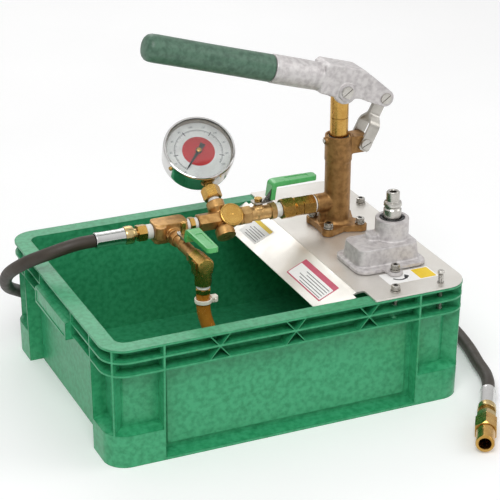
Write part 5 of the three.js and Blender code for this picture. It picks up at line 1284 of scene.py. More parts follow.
@dataclass
class PumpColumn:
    """The cast pump body with its gland, the plunger rod and the suction side below the plate."""

    x: float = PUMP_X
    y: float = PIPE_Y
    foot: float = WASHER_SEAT
    flange: float = 8.0
    barrel: float = 31.3
    collar: float = 33.0
    collar_bottom: float = 231.0
    top: float = 264.4
    bolt_half: float = BOLT_HALF
    ear: float = 8.5
    waist: float = 22.0
    outlet_waist: float = 27.0
    boss: float = 22.5
    pipe_z: float = PIPE_Z
    boss_reach: float = 29.5
    lug_half: float = 11.5

    def build(self) -> None:
        """Adds the casting, the gland, the plunger and the foot valve."""
        self.add_casting()
        self.add_plunger()
        self.add_suction()

    @property
    def place(self) -> Matrix:
        """The frame of the pump column."""
        return at(self.x, self.y)

    def flange_outline(self) -> Outline:
        """Gives the four-eared outline of the foot flange."""
        points: Outline = []
        for quarter, (sx, sy) in enumerate(CORNERS):
            start = 90 * quarter
            points += arc(sx * self.bolt_half, sy * self.bolt_half, self.ear, start - 35, start + 125, 12)
            middle = radians(start + 90)
            waist = self.outlet_waist if quarter == 1 else self.waist
            points.append((waist * cos(middle), waist * sin(middle)))
        return points

    def add_casting(self) -> None:
        """Adds the pump body as a casting with machined faces and bores."""
        reach = self.boss_reach
        across = aim((0, 0, self.pipe_z), LEFT)
        lug = [(0, 241), (29.5, 241), *arc(29.5, 251.5, 10.5, -90, 90, 10), (0, 262)]
        parts = [
            prism(self.flange_outline(), self.foot, self.foot + self.flange),
            cylinder(28, 132.2, self.foot + 2),
            turned([(0, self.foot), (18.5, self.foot), (18.2, self.foot + 8), (self.barrel / 2, self.foot + 12),
                    (self.barrel / 2, self.top - 2), (0, self.top - 2)]),
            turned([(0, self.collar_bottom), (15.4, self.collar_bottom),
                    (self.collar / 2, self.collar_bottom + 1.5),
                    (self.collar / 2, self.top), (0, self.top)]),
            drum(across, self.boss, 0, reach - 0.6),
            slab(-reach + 6, -reach + 16, -3.5, 3.5, self.foot, self.pipe_z),
            sideways(lug, -self.lug_half, self.lug_half),
            drum(aim((0, 0, 258.4), LEFT), 9, 0, 19.2),
        ]
        body = cast(parts, 0.85, 7)
        slot = [*arc(32.7, 251.7, 4.3, -90, 90, 8), *arc(26.3, 251.7, 4.3, 90, 270, 8)]
        bolts = [drum(at(sx * self.bolt_half, sy * self.bolt_half), 6.6, self.foot - 2, self.foot + 10, 32)
                 for sx, sy in CORNERS]
        body = cut(
            body, cylinder(22.8, 120, 270), cylinder(28, 252.4, 270),
            turned([(0, self.top - 1.2), (14, self.top - 1.2), (16.0, self.top + 1), (0, self.top + 1)]),
            slab(-60, 60, -60, 60, self.top - 0.15, self.top + 5), slab(-60, 60, -60, 60, 100, 131.7),
            drum(across, 9, 0, reach + 2, 32), drum(across, 16.6, reach - 9.3, reach + 2),
            sideways(slot, -40, 40), slab(self.lug_half + 20, 60, 11.45, 14, 240, 264), *bolts
        )
        piece("pump_casting", body, Looks.bronze, self.place, node="pump_body", weigh=False)
        self.add_trim()

    def add_trim(self) -> None:
        """Adds the machined ring on the outlet boss, the gland, its wiper and the lock screw."""
        face = moved(ring(self.boss - 0.4, 16.6, self.boss_reach - 2.2, self.boss_reach),
                     aim((0, 0, self.pipe_z), LEFT))
        piece("outlet_face_ring", rounded(face, 0.3), Looks.valve_bronze, self.place)
        gland = turned([(11.25, 252.7), (13.7, 252.7), (13.7, 262.0), (13.3, 262.4), (11.6, 262.4),
                        (11.25, 262.0)])
        piece("gland", gland, Looks.brass, self.place, node="gland_ring")
        wiper = turned([(11.0, 260.6), (12.4, 260.6), (12.2, 263.0), (11.5, 263.5), (11.0, 262.6)])
        piece("wiper_seal", wiper, Looks.seal, self.place)
        screw = turned([(0, 17.5), (3.0, 17.5), (3.0, 19.7), (2.7, 20.0), (0, 20.0)], 40)
        screw = cut(screw, slab(-4, 4, -0.4, 0.4, 19.2, 21))
        piece("lock_screw", screw, Looks.steel, self.place @ aim((0, 0, 258.4), LEFT, 0.6))

    def add_plunger(self) -> None:
        """Adds the polished plunger rod with its groove and its eye."""
        radius = 10.9
        profile = [(0, 175), (radius - 1, 175), (radius, 176), (radius, 286.0), (radius - 0.6, 286.15),
                   (radius - 0.6, 287.05), (radius, 287.2), (radius, 333.2), (0, 333.2)]
        eye = sideways([(-12, 170), (12, 170), (12, 322.3), *arc(0, 322.3, radius, 0, 180, 24), (-12, 322.3)],
                       -12, 12)
        rod = common(turned(profile, 96), eye)
        rod = cut(rod, drum(aim((0, 0, 322.3), FRONT), 9.7, -14, 14, 48))
        flats = [slab(-14, 14, *sorted((side * 9.6, side * 15.6)), 312.5, 340) for side in (-1, 1)]
        rod = rounded(cut(rod, *flats), 0.35, 2, 40)
        piece("plunger", rod, Looks.brass, self.place, "plunger", "plunger_rod")

    def add_suction(self) -> None:
        """Adds the foot valve, its ball and the slotted strainer below the plate."""
        body = turned([(4.5, 102.4), (16.2, 102.4), (17, 103.2), (17, 130.4), (16.2, 131.4), (11.1, 131.4),
                       (11.1, 133.4), (8.5, 133.4), (8.5, 111), (4.5, 108.6)])
        piece("foot_valve", body, Looks.bronze, self.place, node="foot_valve_body")
        piece("foot_ball", ball(14), Looks.steel, self.place @ at(0, 0, 115.06), "ball", "foot_valve_ball")
        cup = turned([(0, 24), (17, 24), (18, 25), (18, 101.1), (17.6, 102.1), (16, 102.1), (16, 26),
                      (0, 26)], 96)
        rows = []
        for row in range(8):
            for k in range(8):
                tool = drum(aim((0, 0, 33 + 7 * row), RIGHT), 4.2, 10, 20, 20)
                rows.append(moved(tool, spin(tau * (k + 0.5 * (row % 2)) / 16 * 2)))
        piece("strainer", cut(cup, gathered(rows)), Looks.sheet, self.place, node="suction_strainer")


@dataclass
class LeverArm:
    """The cast lever with its rubber grip, its pins and the two links."""

    fork: tuple[float, float, float] = (PUMP_X, PIPE_Y, 322.3)
    end: tuple[float, float, float] = (207.0, PIPE_Y, 304.1)
    lug: tuple[float, float, float] = (180.0, PIPE_Y, 251.7)
    tilt: float = 16.3
    axis: float = 9.1
    socket: float = 34.0
    half: float = 17.0
    inside: float = 11.8
    tail_half: float = 10.0

    def build(self) -> None:
        """Adds the lever, the grip, the pins and the links."""
        self.add_casting()
        self.add_grip()
        bx, bz = self.tail_pin()
        self.add_pin("fork_pin", self.place @ aim((0, 0, 0), FRONT), 9.0, self.half + 3.0, "handle")
        self.add_pin("link_pin", self.place @ aim((bx, 0, bz), FRONT), 8.0, self.tail_half, "handle")
        self.add_links()

    @property
    def place(self) -> Matrix:
        """The lever's frame."""
        return Matrix.Translation(self.fork) @ Matrix.Rotation(radians(self.tilt), 4, "Y")

    def tail_pin(self) -> tuple[float, float]:
        """Gives the place of the tail pin in the lever's own frame."""
        tilt = radians(self.tilt)
        dx, dz = self.end[0] - self.fork[0], self.end[2] - self.fork[2]
        return dx * cos(tilt) - dz * sin(tilt), dx * sin(tilt) + dz * cos(tilt)

    def add_casting(self) -> None:
        """Adds the lever casting with its fork, slotted tail and bores."""
        bx, bz = self.tail_pin()
        low = self.axis - self.socket / 2
        head = [(-34, low + 1), *arc(0, 0, 15.5, 215, 335, 10), (26, -5.2), (24, 25.9), (15.8, 29.4),
                (-30, 29.4), (-34, self.axis + 16)]
        tail = [(13, -5.3), (bx - 21, -9.5), *arc(bx, bz, 10.5, 250, 430, 14), (bx - 26.3, 22.2), (13, 29.1)]
        along = aim((0, 0, self.axis), RIGHT)
        parts = [
            moved(turned([(0, -96.5), (16.4, -96.5), (17, -95.5), (17, -60), (16.6, -32), (0, -32)]), along),
            sideways(head, -self.half, self.half),
            drum(aim((0, 0, 0), FRONT), 21, -self.half - 3, self.half + 3),
            sideways(tail, -self.tail_half, self.tail_half),
        ]
        body = cast(parts, 0.9, 7)
        room = 19.0
        cavity = [(-room, -40), (room, -40), (room, -room), *arc(0, 0, 12.9, 0, 180, 16), (-room, -room)]
        slot = 3.0 + 0.15 + 0.35
        body = cut(
            body, sideways(cavity, -self.inside, self.inside), slab(34, bx + 21, -slot, slot, -40, 40),
            drum(aim((0, 0, 0), FRONT), 9.6, -40, 40, 40), drum(aim((bx, 0, bz), FRONT), 8.6, -40, 40, 40),
            slab(-200, -96.3, -40, 40, -40, 60),
            *[drum(aim((0, 0, 0), way), 30, self.half + 2.7, self.half + 8) for way in (FRONT, -FRONT)]
        )
        piece("lever_casting", body, Looks.aluminium, self.place, "handle", "handle_casting", weigh=False)
        core = drum(along, 22, -225, -94)
        piece("lever_core", rounded(core, 0.4), Looks.aluminium, self.place, "handle")

    def add_grip(self) -> None:
        """Adds the long rubber grip with its rounded end and collar."""
        top, end, radius = -96.8, -257.4, 16.15
        profile = [(0, end), (9.0, end), (12.4, end + 1.2), (14.8, end + 3.8), (15.9, end + 7.6),
                   (radius, end + 14), (radius - 0.3, -180), (radius - 0.2, -130), (radius, top - 6),
                   (radius, top - 1.0), (radius - 0.9, top), (11.15, top), (11.15, -225.3), (0, -225.3)]
        piece("grip_sleeve", turned(profile, 96), Looks.grip, self.place @ aim((0, 0, self.axis), RIGHT),
              "handle", "handle_grip", weigh=False)

    def add_pin(self, node: str, place: Matrix, diameter: float, reach: float, body: str) -> None:
        """Adds a pin with a slotted head at its front and a riveted head at its back.

        Args:
            node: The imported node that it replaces.
            place: Its frame, with the front at +Z.
            diameter: Its shank.
            reach: Distance from the middle to the faces it clamps.
            body: The body that it moves with.
        """
        radius = diameter / 2
        wide = radius + 3.0
        near, far = reach + 0.3, reach + 1.6
        half = [(radius, near), (wide - 0.2, near), (wide, near + 0.3), (wide - 0.3, far - 0.3),
                (wide - 0.9, far)]
        back = [(r, -z) for r, z in reversed(half)]
        shank = turned([(0, -far), *back, *half, (0, far)], 64)
        shank = cut(shank, slab(-wide - 1, wide + 1, -0.6, 0.6, far - 0.7, far + 1))
        piece(f"{node}_steel", shank, Looks.steel, place @ spin(0.9), body, node)

    def add_links(self) -> None:
        """Adds the two bent link straps and the lug pin."""
        length = dist(self.end, self.lug)
        lean = atan2(self.end[0] - self.lug[0], self.end[2] - self.lug[2])
        place = Matrix.Translation(self.end) @ Matrix.Rotation(lean, 4, "Y")
        for name, side in (("link_front", -1), ("link_back", 1)):
            piece(f"{name}_strap", self.strap(side, length), Looks.strap, place, "link", name)
        lug = place @ aim((0, 0, -length), FRONT)
        self.add_pin("lug_pin", lug, 8.0, 14.8, "link")

    def strap(self, side: int, length: float) -> Mesh:
        """Makes one link strap, with its two soft bends.

        Args:
            side: -1 for the front strap and 1 for the back strap.
            length: Distance between its pins.

        Returns:
            The strap in the frame of the links.
        """
        half, near, far = 7.25, 0.15, 11.8
        bottom = -length - 8.5
        line = [(near, half), (near, -25.0), (far, -35.0), (far, bottom)]
        strip = [(side * y, z) for y, z in bent_strip(line, 3.0, 4.0, 8)]
        body = endways(strip, -half, half)
        plan = sideways([*arc(0, 0, half, 0, 180, 20), (-half, bottom + 2.5), (-half + 2.5, bottom),
                         (half - 2.5, bottom), (half, bottom + 2.5)], -30, 30)
        body = cut(common(body, plan), drum(aim((0, 0, 0), FRONT), 8.7, -30, 30, 40),
                   drum(aim((0, 0, -length), FRONT), 8.6, -30, 30, 40))
        return rounded(body, 0.4, 2, 50)


# Pipe run


@dataclass
class Valve:
    """A ball valve: sizes of its body, stem and lever."""

    name: str
    length: float
    stem_at: float
    barrel: float
    flats: float
    hex_length: float
    end_flats: float
    end_length: float
    neck: float
    neck_top: float
    bore: float
    ball: float
    stem: float
    nut: float
    nut_top: float
    lever_base: float
    lever_rise: float
    lever_foot: float
    knee_run: float
    lever_tip: float
    lever_width: float = 13.0
    strip: float = 2.0
    sleeve: float = 1.7
    tip_share: float = 0.82
    back: float = 8.0
    tip_radius: float = 4.0
    cover_share: float = 0.15

    def body(self, tools: Sequence[Mesh], extra: Sequence[Mesh] = ()) -> Mesh:
        """Makes the valve body along +Z with its stem towards -X and its hexagon at zero.

        Args:
            tools: Solids to cut out of it.
            extra: Solids to join to it.

        Returns:
            The body.
        """
        upright = aim((0, 0, self.stem_at), LEFT)
        belly = moved(ball(self.barrel * 1.08), at(0, 0, self.stem_at))
        neck = moved(turned([(0, 0), (self.neck * 0.72, 0), (self.neck * 0.62, self.barrel * 0.45),
                             (self.neck / 2, self.barrel * 0.55), (self.neck / 2, self.neck_top),
                             (0, self.neck_top)]), upright)
        casting = cast([cylinder(self.barrel, 0.5, self.length - 0.5), belly, neck, *extra], 0.55, 5)
        casting = join(casting, hexagon(self.flats, 0, self.hex_length, 0.0, 0.8),
                       hexagon(self.end_flats, self.length - self.end_length, self.length, 0.0, 0.8))
        stem_room = drum(upright, self.stem + 0.6, 0, self.neck_top + 2, 40)
        return cut(casting, cylinder(self.bore, -20, self.length + 20, 40),
                   moved(ball(self.ball + 2), at(0, 0, self.stem_at)), stem_room,
                   slab(-self.neck_top - 5, -self.neck_top + 0.12, -20, 20, self.stem_at - 20,
                        self.stem_at + 20), *tools)

    def add_moving(self, place: Matrix, body: str) -> None:
        """Adds the stem, the lever nut, the steel lever and its vinyl sleeve.

        Args:
            place: The frame of the stem, with the lever towards +X.
            body: The body that they move with.
        """
        lever_top = self.neck_top + self.lever_base + self.strip
        nut_low, nut_high = lever_top + 0.3, self.nut_top - 0.3
        radius = self.stem / 2
        stem = join(
            ball(self.ball),
            turned([(0, 0), (radius, 0), (radius, nut_low), (radius - 0.3, nut_high),
                    (radius - 0.3, self.nut_top - 0.5), (radius - 0.8, self.nut_top), (0, self.nut_top)], 48)
        )
        stem = join(stem, hexagon(self.nut, nut_low, nut_high, 0.2))
        stem = cut(stem, drum(aim((0, 0, 0), RIGHT), self.bore, -20, 20, 40))
        piece(f"{self.name}_stem_nut", stem, Looks.brass, place, body, f"{self.name}_valve_stem")
        piece(f"{self.name}_lever_strip", self.strip_lever(), Looks.strap, place, body,
              f"{self.name}_valve_lever")
        piece(f"{self.name}_sleeve", self.vinyl_sleeve(), Looks.vinyl, place, body,
              f"{self.name}_lever_sleeve", weigh=False)

    def path(self, tip: float) -> Outline:
        """Gives the lever's path along its lower face."""
        low = self.neck_top + self.lever_base
        high = low + self.lever_rise
        return [(-self.back, low), (self.lever_foot, low), (self.lever_foot + self.knee_run, high),
                (tip, high)]

    def plan(self, tip: float, half: float) -> Mesh:
        """Makes the plan of the lever, drawn in towards its rounded tip."""
        end = half * self.tip_share
        radius = min(end - 0.2, self.tip_radius)
        outline = [
            *arc(tip - radius, radius - end, radius, -90, 0, 8),
            *arc(tip - radius, end - radius, radius, 0, 90, 8), (0, half),
            *arc(-self.back + 3, half - 3, 3, 90, 180, 5), *arc(-self.back + 3, 3 - half, 3, 180, 270, 5),
            (0, -half)
        ]
        return prism(outline, 0, 100)

    def strip_lever(self) -> Mesh:
        """Makes the bent steel lever."""
        tip = self.lever_tip - self.sleeve - 0.3
        half = self.lever_width / 2
        bar = sideways(bent_strip(self.path(tip), self.strip, 1.6), -half, half)
        body = common(bar, self.plan(tip, half))
        return rounded(cut(body, cylinder(self.stem + 0.6, 0, self.neck_top + self.lever_base + 6, 40)), 0.3,
                       2, 45)

    def vinyl_sleeve(self) -> Mesh:
        """Makes the soft sleeve that is dipped over the lever, with a raised plain panel."""
        half = self.lever_width / 2 + 0.3
        _, foot, knee, tip = self.path(self.lever_tip)
        share = self.cover_share
        start = (foot[0] + share * (knee[0] - foot[0]), foot[1] + share * (knee[1] - foot[1]))
        out = self.sleeve + 0.3
        wide = half + self.sleeve
        sides = (([start, knee, tip], self.strip + out), ([tip, knee, start], out))
        skins = [common(sideways(bent_strip(line, depth, 2.0), -wide, wide), self.plan(self.lever_tip, wide))
                 for line, depth in sides]
        body = cast(skins, 0.45, 7)
        panel_x0, panel_x1 = knee[0] + 16, tip[0] - 10
        top = knee[1] + self.strip + out
        panel = moved(prism(rounded_box(panel_x1 - panel_x0, self.lever_width * 0.62, 2.0, 6), top - 0.55,
                            top + 1), at((panel_x0 + panel_x1) / 2, 0))
        room = sideways(bent_strip(self.path(self.lever_tip - self.sleeve), self.strip + 0.6, 1.6), -half,
                        half)
        room.transform(at(0, 0, -0.3))
        return cut(body, panel, common(room, self.plan(self.lever_tip - self.sleeve, half)))


@dataclass
class PipeRun:
    """Everything on the pipe from the pump outlet to the hose adapter."""

    y: float = PIPE_Y
    z: float = PIPE_Z

    def along(self, x: float, roll: float = 0.0) -> Matrix:
        """Gives the frame that lies along the pipe from a place in X."""
        return aim((x, self.y, self.z), RIGHT, roll)

    def build(self) -> None:
        """Adds the fittings from right to left."""
        self.add_outlet()
        self.add_main_valve()
        self.add_nipples()
        self.add_manifold()

    def tape(self, name: str, outer: float, x0: float, x1: float) -> None:
        """Adds wraps of white thread tape round the pipe.

        Args:
            name: Name of the piece.
            outer: Their diameter.
            x0: Left end.
            x1: Right end.
        """
        length = x1 - x0
        piece(name, tape_wraps(outer, length), Looks.tape, self.along(x0))

    def add_outlet(self) -> None:
        """Adds the outlet adapter and the valve nipple."""
        body = join(hexagon(21.5, 0, 26.7, 0.0, 0.9), threaded(16, 1.4, 26.4, 35.7))
        groove = ring(30, 20.6, 9.6, 10.4, 64)
        body = cut(body, cylinder(17.2, -2, 14), cylinder(8, 0, 40, 40), groove,
                   turned([(0, -1), (10.2, -1), (8.6, 1.0), (0, 1.0)]))
        piece("outlet_adapter_brass", rounded(body, 0.18, 2, 50), Looks.brass, self.along(91.8),
              node="outlet_adapter")
        body = join(hexagon(23, 0, 16.1, 0.0, 0.9), threaded(16.6, 1.4, 16.0, 27.1),
                    threaded(16.6, 1.4, -12.7, 0.2))
        body = cut(body, cylinder(8, -20, 30, 40))
        piece("valve_nipple_brass", rounded(body, 0.18, 2, 50), Looks.brass, self.along(75.4),
              node="valve_nipple")
        self.tape("tape_outlet", 19.6, 118.6, 120.8)
        self.tape("tape_adapter", 17.6, 91.52, 91.78)
        self.tape("tape_valve", 17.2, 67.9, 75.2)

    def add_main_valve(self) -> None:
        """Adds the main ball valve."""
        valve = Valve(name="main", length=44.2, stem_at=22.6, barrel=17, flats=20, hex_length=12,
                      end_flats=19.5, end_length=7, neck=11, neck_top=11.5, bore=8.6, ball=13, stem=7, nut=9,
                      nut_top=19.8, lever_base=2.1, lever_rise=21.1, lever_foot=16, knee_run=3, lever_tip=74)
        body = valve.body([cylinder(17.2, 38.9, 46), cylinder(14.4, -2, 10)])
        piece("main_valve_casting", body, Looks.valve_bronze, self.along(23.5), node="main_valve_body",
              weigh=False)
        valve.add_moving(at(46.1, self.y, self.z), "main_valve")

    def add_nipples(self) -> None:
        """Adds the tee nipple and the hose adapter with their thread tape."""
        body = join(threaded(12.6, 1.3, -8, 22.6), cylinder(13.6, 0.6, 14.0), hexagon(16, 4.3, 10.3, 0.3))
        body = cut(body, cylinder(6, -10, 25, 32))
        piece("tee_nipple_brass", body, Looks.brass, self.along(-46.7), node="tee_nipple")
        self.tape("tape_tee_left", 15.2, -46.6, -42.5)
        self.tape("tape_tee_right", 15.2, -36.3, -32.2)
        body = join(hexagon(18, 0, 11, 0.26), cylinder(16, 10.8, 18.6), threaded(12.6, 1.3, 18.4, 27.1),
                    turned([(0, -7), (3.6, -7), (4.7, -5.4), (4.7, 1), (0, 1)]))
        body = cut(body, cylinder(6, -10, 30, 32))
        piece("hose_adapter_brass", body, Looks.brass, self.along(-107.5), node="hose_adapter")
        self.tape("tape_hose", 17.6, -96.4, -88.8)

    def add_manifold(self) -> None:
        """Adds the cast manifold with its column and its front port."""
        block = prism(rounded_box(41.2, 23.8, 6, 10), 166.8, 190.4)
        parts = [block, drum(at(-14.3, -12), 14, 173.8, 189.0), drum(aim((1.7, 0, 175), FRONT), 19, 0, 16.8),
                 drum(aim((0, 0, 179), RIGHT), 20.6, 0, 20.5), drum(aim((0, 0, 179), LEFT), 20.6, 0, 20.5)]
        body = cast(parts, 0.6, 5)
        front = aim((1.7, 0, 175), FRONT)
        body = cut(
            body, drum(aim((0, 0, 180), RIGHT), 8, -40, 40, 32),
            drum(aim((0, 0, 180), RIGHT), 13.2, 12.4, 30), drum(aim((0, 0, 180), LEFT), 13.2, 12.4, 30),
            drum(front, 8, 0, 30, 32), drum(front, 13.2, 9.3, 30)
        )
        piece("manifold_casting", body, Looks.copper_bronze, at(-67.7, self.y), node="manifold", weigh=False)


def tape_wraps(outer: float, length: float) -> Mesh:
    """Makes uneven wraps of thread tape along +Z."""
    radius = outer / 2
    inner = radius - 0.7
    count = max(3, int(length / 0.5))
    profile: Outline = [(inner, 0)]
    for k in range(count + 1):
        swell = 0.16 * sin(2.6 * k + outer) - 0.12
        profile.append((radius + swell - (0.35 if k in (0, count) else 0.0), length * k / count))
    return turned([*profile, (inner, length)], 64)


@dataclass
class CheckValve:
    """The cast check valve with its turned cap, gauge boss and bottom plug."""

    x: float = 9.0
    y: float = PIPE_Y
    z: float = PIPE_Z
    gauge_x: float = -2.0
    lean: float = 51.0
    cap_lean: float = 44.0
    arm_x: float = -31.8
    shell_x: float = -2.8

    def build(self) -> None:
        """Adds the check valve body, cap and poppet."""
        up, cap_out = self.gauge_up(), self.cap_out()
        pipe, arm, shell = [aim((x, 0, 0), RIGHT) for x in (0, self.arm_x, self.shell_x)]
        seat, stem, foot = aim((self.x, 0, 0), cap_out), aim((self.gauge_x, 0, 0), up), aim(
            (self.gauge_x, 0, 0), -up
        )
        boss = [(0, 0), (6.4, 0), (6.5, 8.0), (10.8, 13.5), (10.8, 22.4), (0, 22.4)]
        plug = [(0, 0), (6.9, 0), (6.9, 8.5), (11.5, 13.5), (11.5, 22.6), (0, 22.6)]
        parts = [
            drum(pipe, 17.4, -31, 0),
            drum(shell, 21, 0, 25.6),
            moved(ball(25), at(self.x, 0)),
            moved(turned([(0, 0), (12.4, 0), (13.0, 3), (13.0, 7.4), (0, 7.4)]), seat),
            moved(turned(boss), stem),
            moved(turned(plug), foot),
        ]
        body = join(
            cast(parts, 0.65, 6), moved(hexagon(19, 0, 29.0, radians(16.2), 0.7), arm),
            moved(rounded(cylinder(21.2, 21.4, 26.0), 0.3), shell),
            moved(threaded(14, 1.3, 13.8, 23.2), aim((self.x, 0, 0), RIGHT)),
            moved(rounded(cylinder(26, 5.8, 7.7), 0.3), seat),
            moved(rounded(cylinder(21.6, 20.4, 22.8), 0.4), stem),
            moved(rounded(cylinder(23, 20.6, 23.5), 0.5), foot)
        )
        body = cut(body, drum(pipe, 8, -60, 60, 32), drum(arm, 13.1, -2, 9), drum(seat, 15, 1.8, 16),
                   drum(seat, 29, 7.7, 28.4), drum(stem, 13.4, 12.0, 30), drum(stem, 5, 0, 15, 32),
                   moved(ring(9, 6.4, 23.1, 25, 48), foot))
        piece("check_valve_casting", body, Looks.copper_bronze, at(0, self.y, self.z),
              node="check_valve_body", weigh=False)
        place = aim((self.x, self.y, self.z), cap_out)
        cap = turned([(0, 8), (13.8, 8), (14.2, 8.4), (14.2, 11.2), (13.6, 11.8), (12.9, 12), (12.6, 11.75),
                      (12.1, 11.75), (11.8, 12), (2.0, 12), (1.2, 11.5), (0, 11.2)], 96)
        piece("check_cap_brass", cap, Looks.brass, place, node="check_cap")
        piece("poppet_brass", rounded(cylinder(14, 2.1, 4.1), 0.3), Looks.brass, place, "poppet",
              "check_poppet")

    def gauge_up(self) -> Vector:
        """Gives the direction of the gauge stem."""
        lean = radians(self.lean)
        return Vector((0, sin(lean), cos(lean)))

    def cap_out(self) -> Vector:
        """Gives the direction that the cap faces."""
        lean = radians(self.cap_lean)
        return Vector((0, -cos(lean), sin(lean)))


@dataclass
class DrainBranch:
    """The drain ball valve, the elbow, the barb and its cable tie."""

    x: float = -66.0
    z: float = 175.0
    front: float = 15.4
    stem_y: float = -9.0
    elbow_y: float = -65.0
    elbow_front: float = -43.3
    elbow_face: float = -74.0

    def build(self) -> None:
        """Adds the branch from the manifold to the drain tube."""
        valve = Valve(name="drain", length=58.4, stem_at=24.4, barrel=14.4, flats=17, hex_length=9,
                      end_flats=16, end_length=8, neck=9, neck_top=12.8, bore=5, ball=9.6, stem=5, nut=7,
                      nut_top=29.8, lever_base=0.5, lever_rise=15, lever_foot=22, knee_run=4.5, lever_tip=86)
        male = threaded(12.6, 1.3, -9, 0.4)
        body = valve.body([cylinder(11.6, 51.1, 62), cylinder(5, -12, 10, 32)])
        body = cut(join(body, male), cylinder(5, -12, 10, 32))
        turn = spin(-pi / 2) @ Matrix.Rotation(pi / 2, 4, "Y")
        piece("drain_valve_casting", body, Looks.copper_bronze, at(self.x, self.front, self.z) @ turn,
              node="drain_valve_body", weigh=False)
        valve.add_moving(at(self.x, self.stem_y, self.z) @ spin(-pi / 2), "drain_valve")
        self.add_elbow()
        self.add_barb()

    def add_elbow(self) -> None:
        """Adds the machined brass elbow with its side pads."""
        reach = self.elbow_front - self.elbow_y
        front = aim((0, self.elbow_front, self.z), FRONT)
        parts = [
            moved(hexagon(18, 0, self.elbow_front - self.elbow_face, pi / 6, 0.7), front),
            moved(threaded(11, 1.2, -7, 0.4), front),
            moved(hexagon(18, 150.5, self.z, 0.0, 0.7), at(0, self.elbow_y))
        ]
        for side in (-1, 1):
            x0, x1 = sorted((side * 8.0, side * 10.6))
            parts.append(slab(x0, x1, -68, -56, 163.7, 178.7))
        body = cut(join(parts[0], *parts[1:]), slab(-20, 20, self.elbow_face - 10, self.elbow_face, 140, 190))
        body = rounded(body, 0.5, 3, 45)
        body = cut(body, drum(front, 6, -12, reach, 32), drum(at(0, self.elbow_y), 6, 140, self.z, 32),
                   drum(at(0, self.elbow_y), 13.2, 148.5, 158.8))
        mark = gathered(
            [moved(prism(arc(0, 0, 2.8, 0, 300, 5), 10.45, 10.7), aim((0, -62, 174), LEFT)),
             moved(rounded(slab(-1.1, 1.1, -2.8, 2.8, 10.45, 10.7), 0.1), aim((0, -62, 167.4), LEFT))]
        )
        piece("elbow_marks", mark, Looks.brass, at(self.x, 0))
        piece("drain_elbow_brass", body, Looks.brass, at(self.x, 0), node="drain_elbow")
        piece("tape_elbow", tape_wraps(13.6, 0.24), Looks.tape, aim((self.x, -43.02, self.z), FRONT))

    def add_barb(self) -> None:
        """Adds the hose barb with its tape and the cable tie."""
        place = at(self.x, self.elbow_y)
        barbs = [(0, 122), (4.6, 122)]
        for k in range(4):
            z = 122 + 4.4 * k
            barbs += [(5.0, z + 0.6), (4.5, z + 4.2)]
        body = join(turned([*barbs, (4.5, 142.4), (0, 142.4)], 48), hexagon(16, 140.4, 146.3, 0.1, 0.7),
                    threaded(12.6, 1.3, 146, 158.2))
        body = cut(body, cylinder(6, 120, 160, 32))
        piece("hose_barb_brass", body, Looks.brass, place, node="hose_barb")
        piece("tape_barb", tape_wraps(15.6, 3.7), Looks.tape, place @ at(0, 0, 146.4))
        self.add_tie()

    def add_tie(self) -> None:
        """Adds the nylon cable tie with its ribbed band, head and cut tail."""
        inner, outer, z = 16.6, 19.8, 131.0
        band = rounded(ring(outer, inner, z - 2.3, z + 2.3, 96), 0.4)
        head = moved(rounded(slab(0, 8.0, -3.5, 3.5, -4.0, 4.0), 1.1, 3), at(9.1, 0, z))
        head = cut(head, slab(11.0, 15.2, -5, 5, z - 1.2, z + 1.2))
        ribs = [moved(slab(-0.3, 0.3, outer / 2 - 0.1, outer / 2 + 0.05, z - 1.6, z + 1.6),
                      spin(radians(30 + 6 * k))) for k in range(50)]
        tail = moved(rounded(slab(-1.1, 1.1, -6.8, 3.4, -2.0, 2.0), 0.4), at(13.1, 0, z))
        body = cut(join(band, join(head, tail)), cylinder(inner, z - 10, z + 10, 96))
        piece("cable_tie_nylon", gathered([body, *ribs]), Looks.nylon, at(self.x, self.elbow_y),
              node="cable_tie")


# Gauge, hose fittings and filling pump


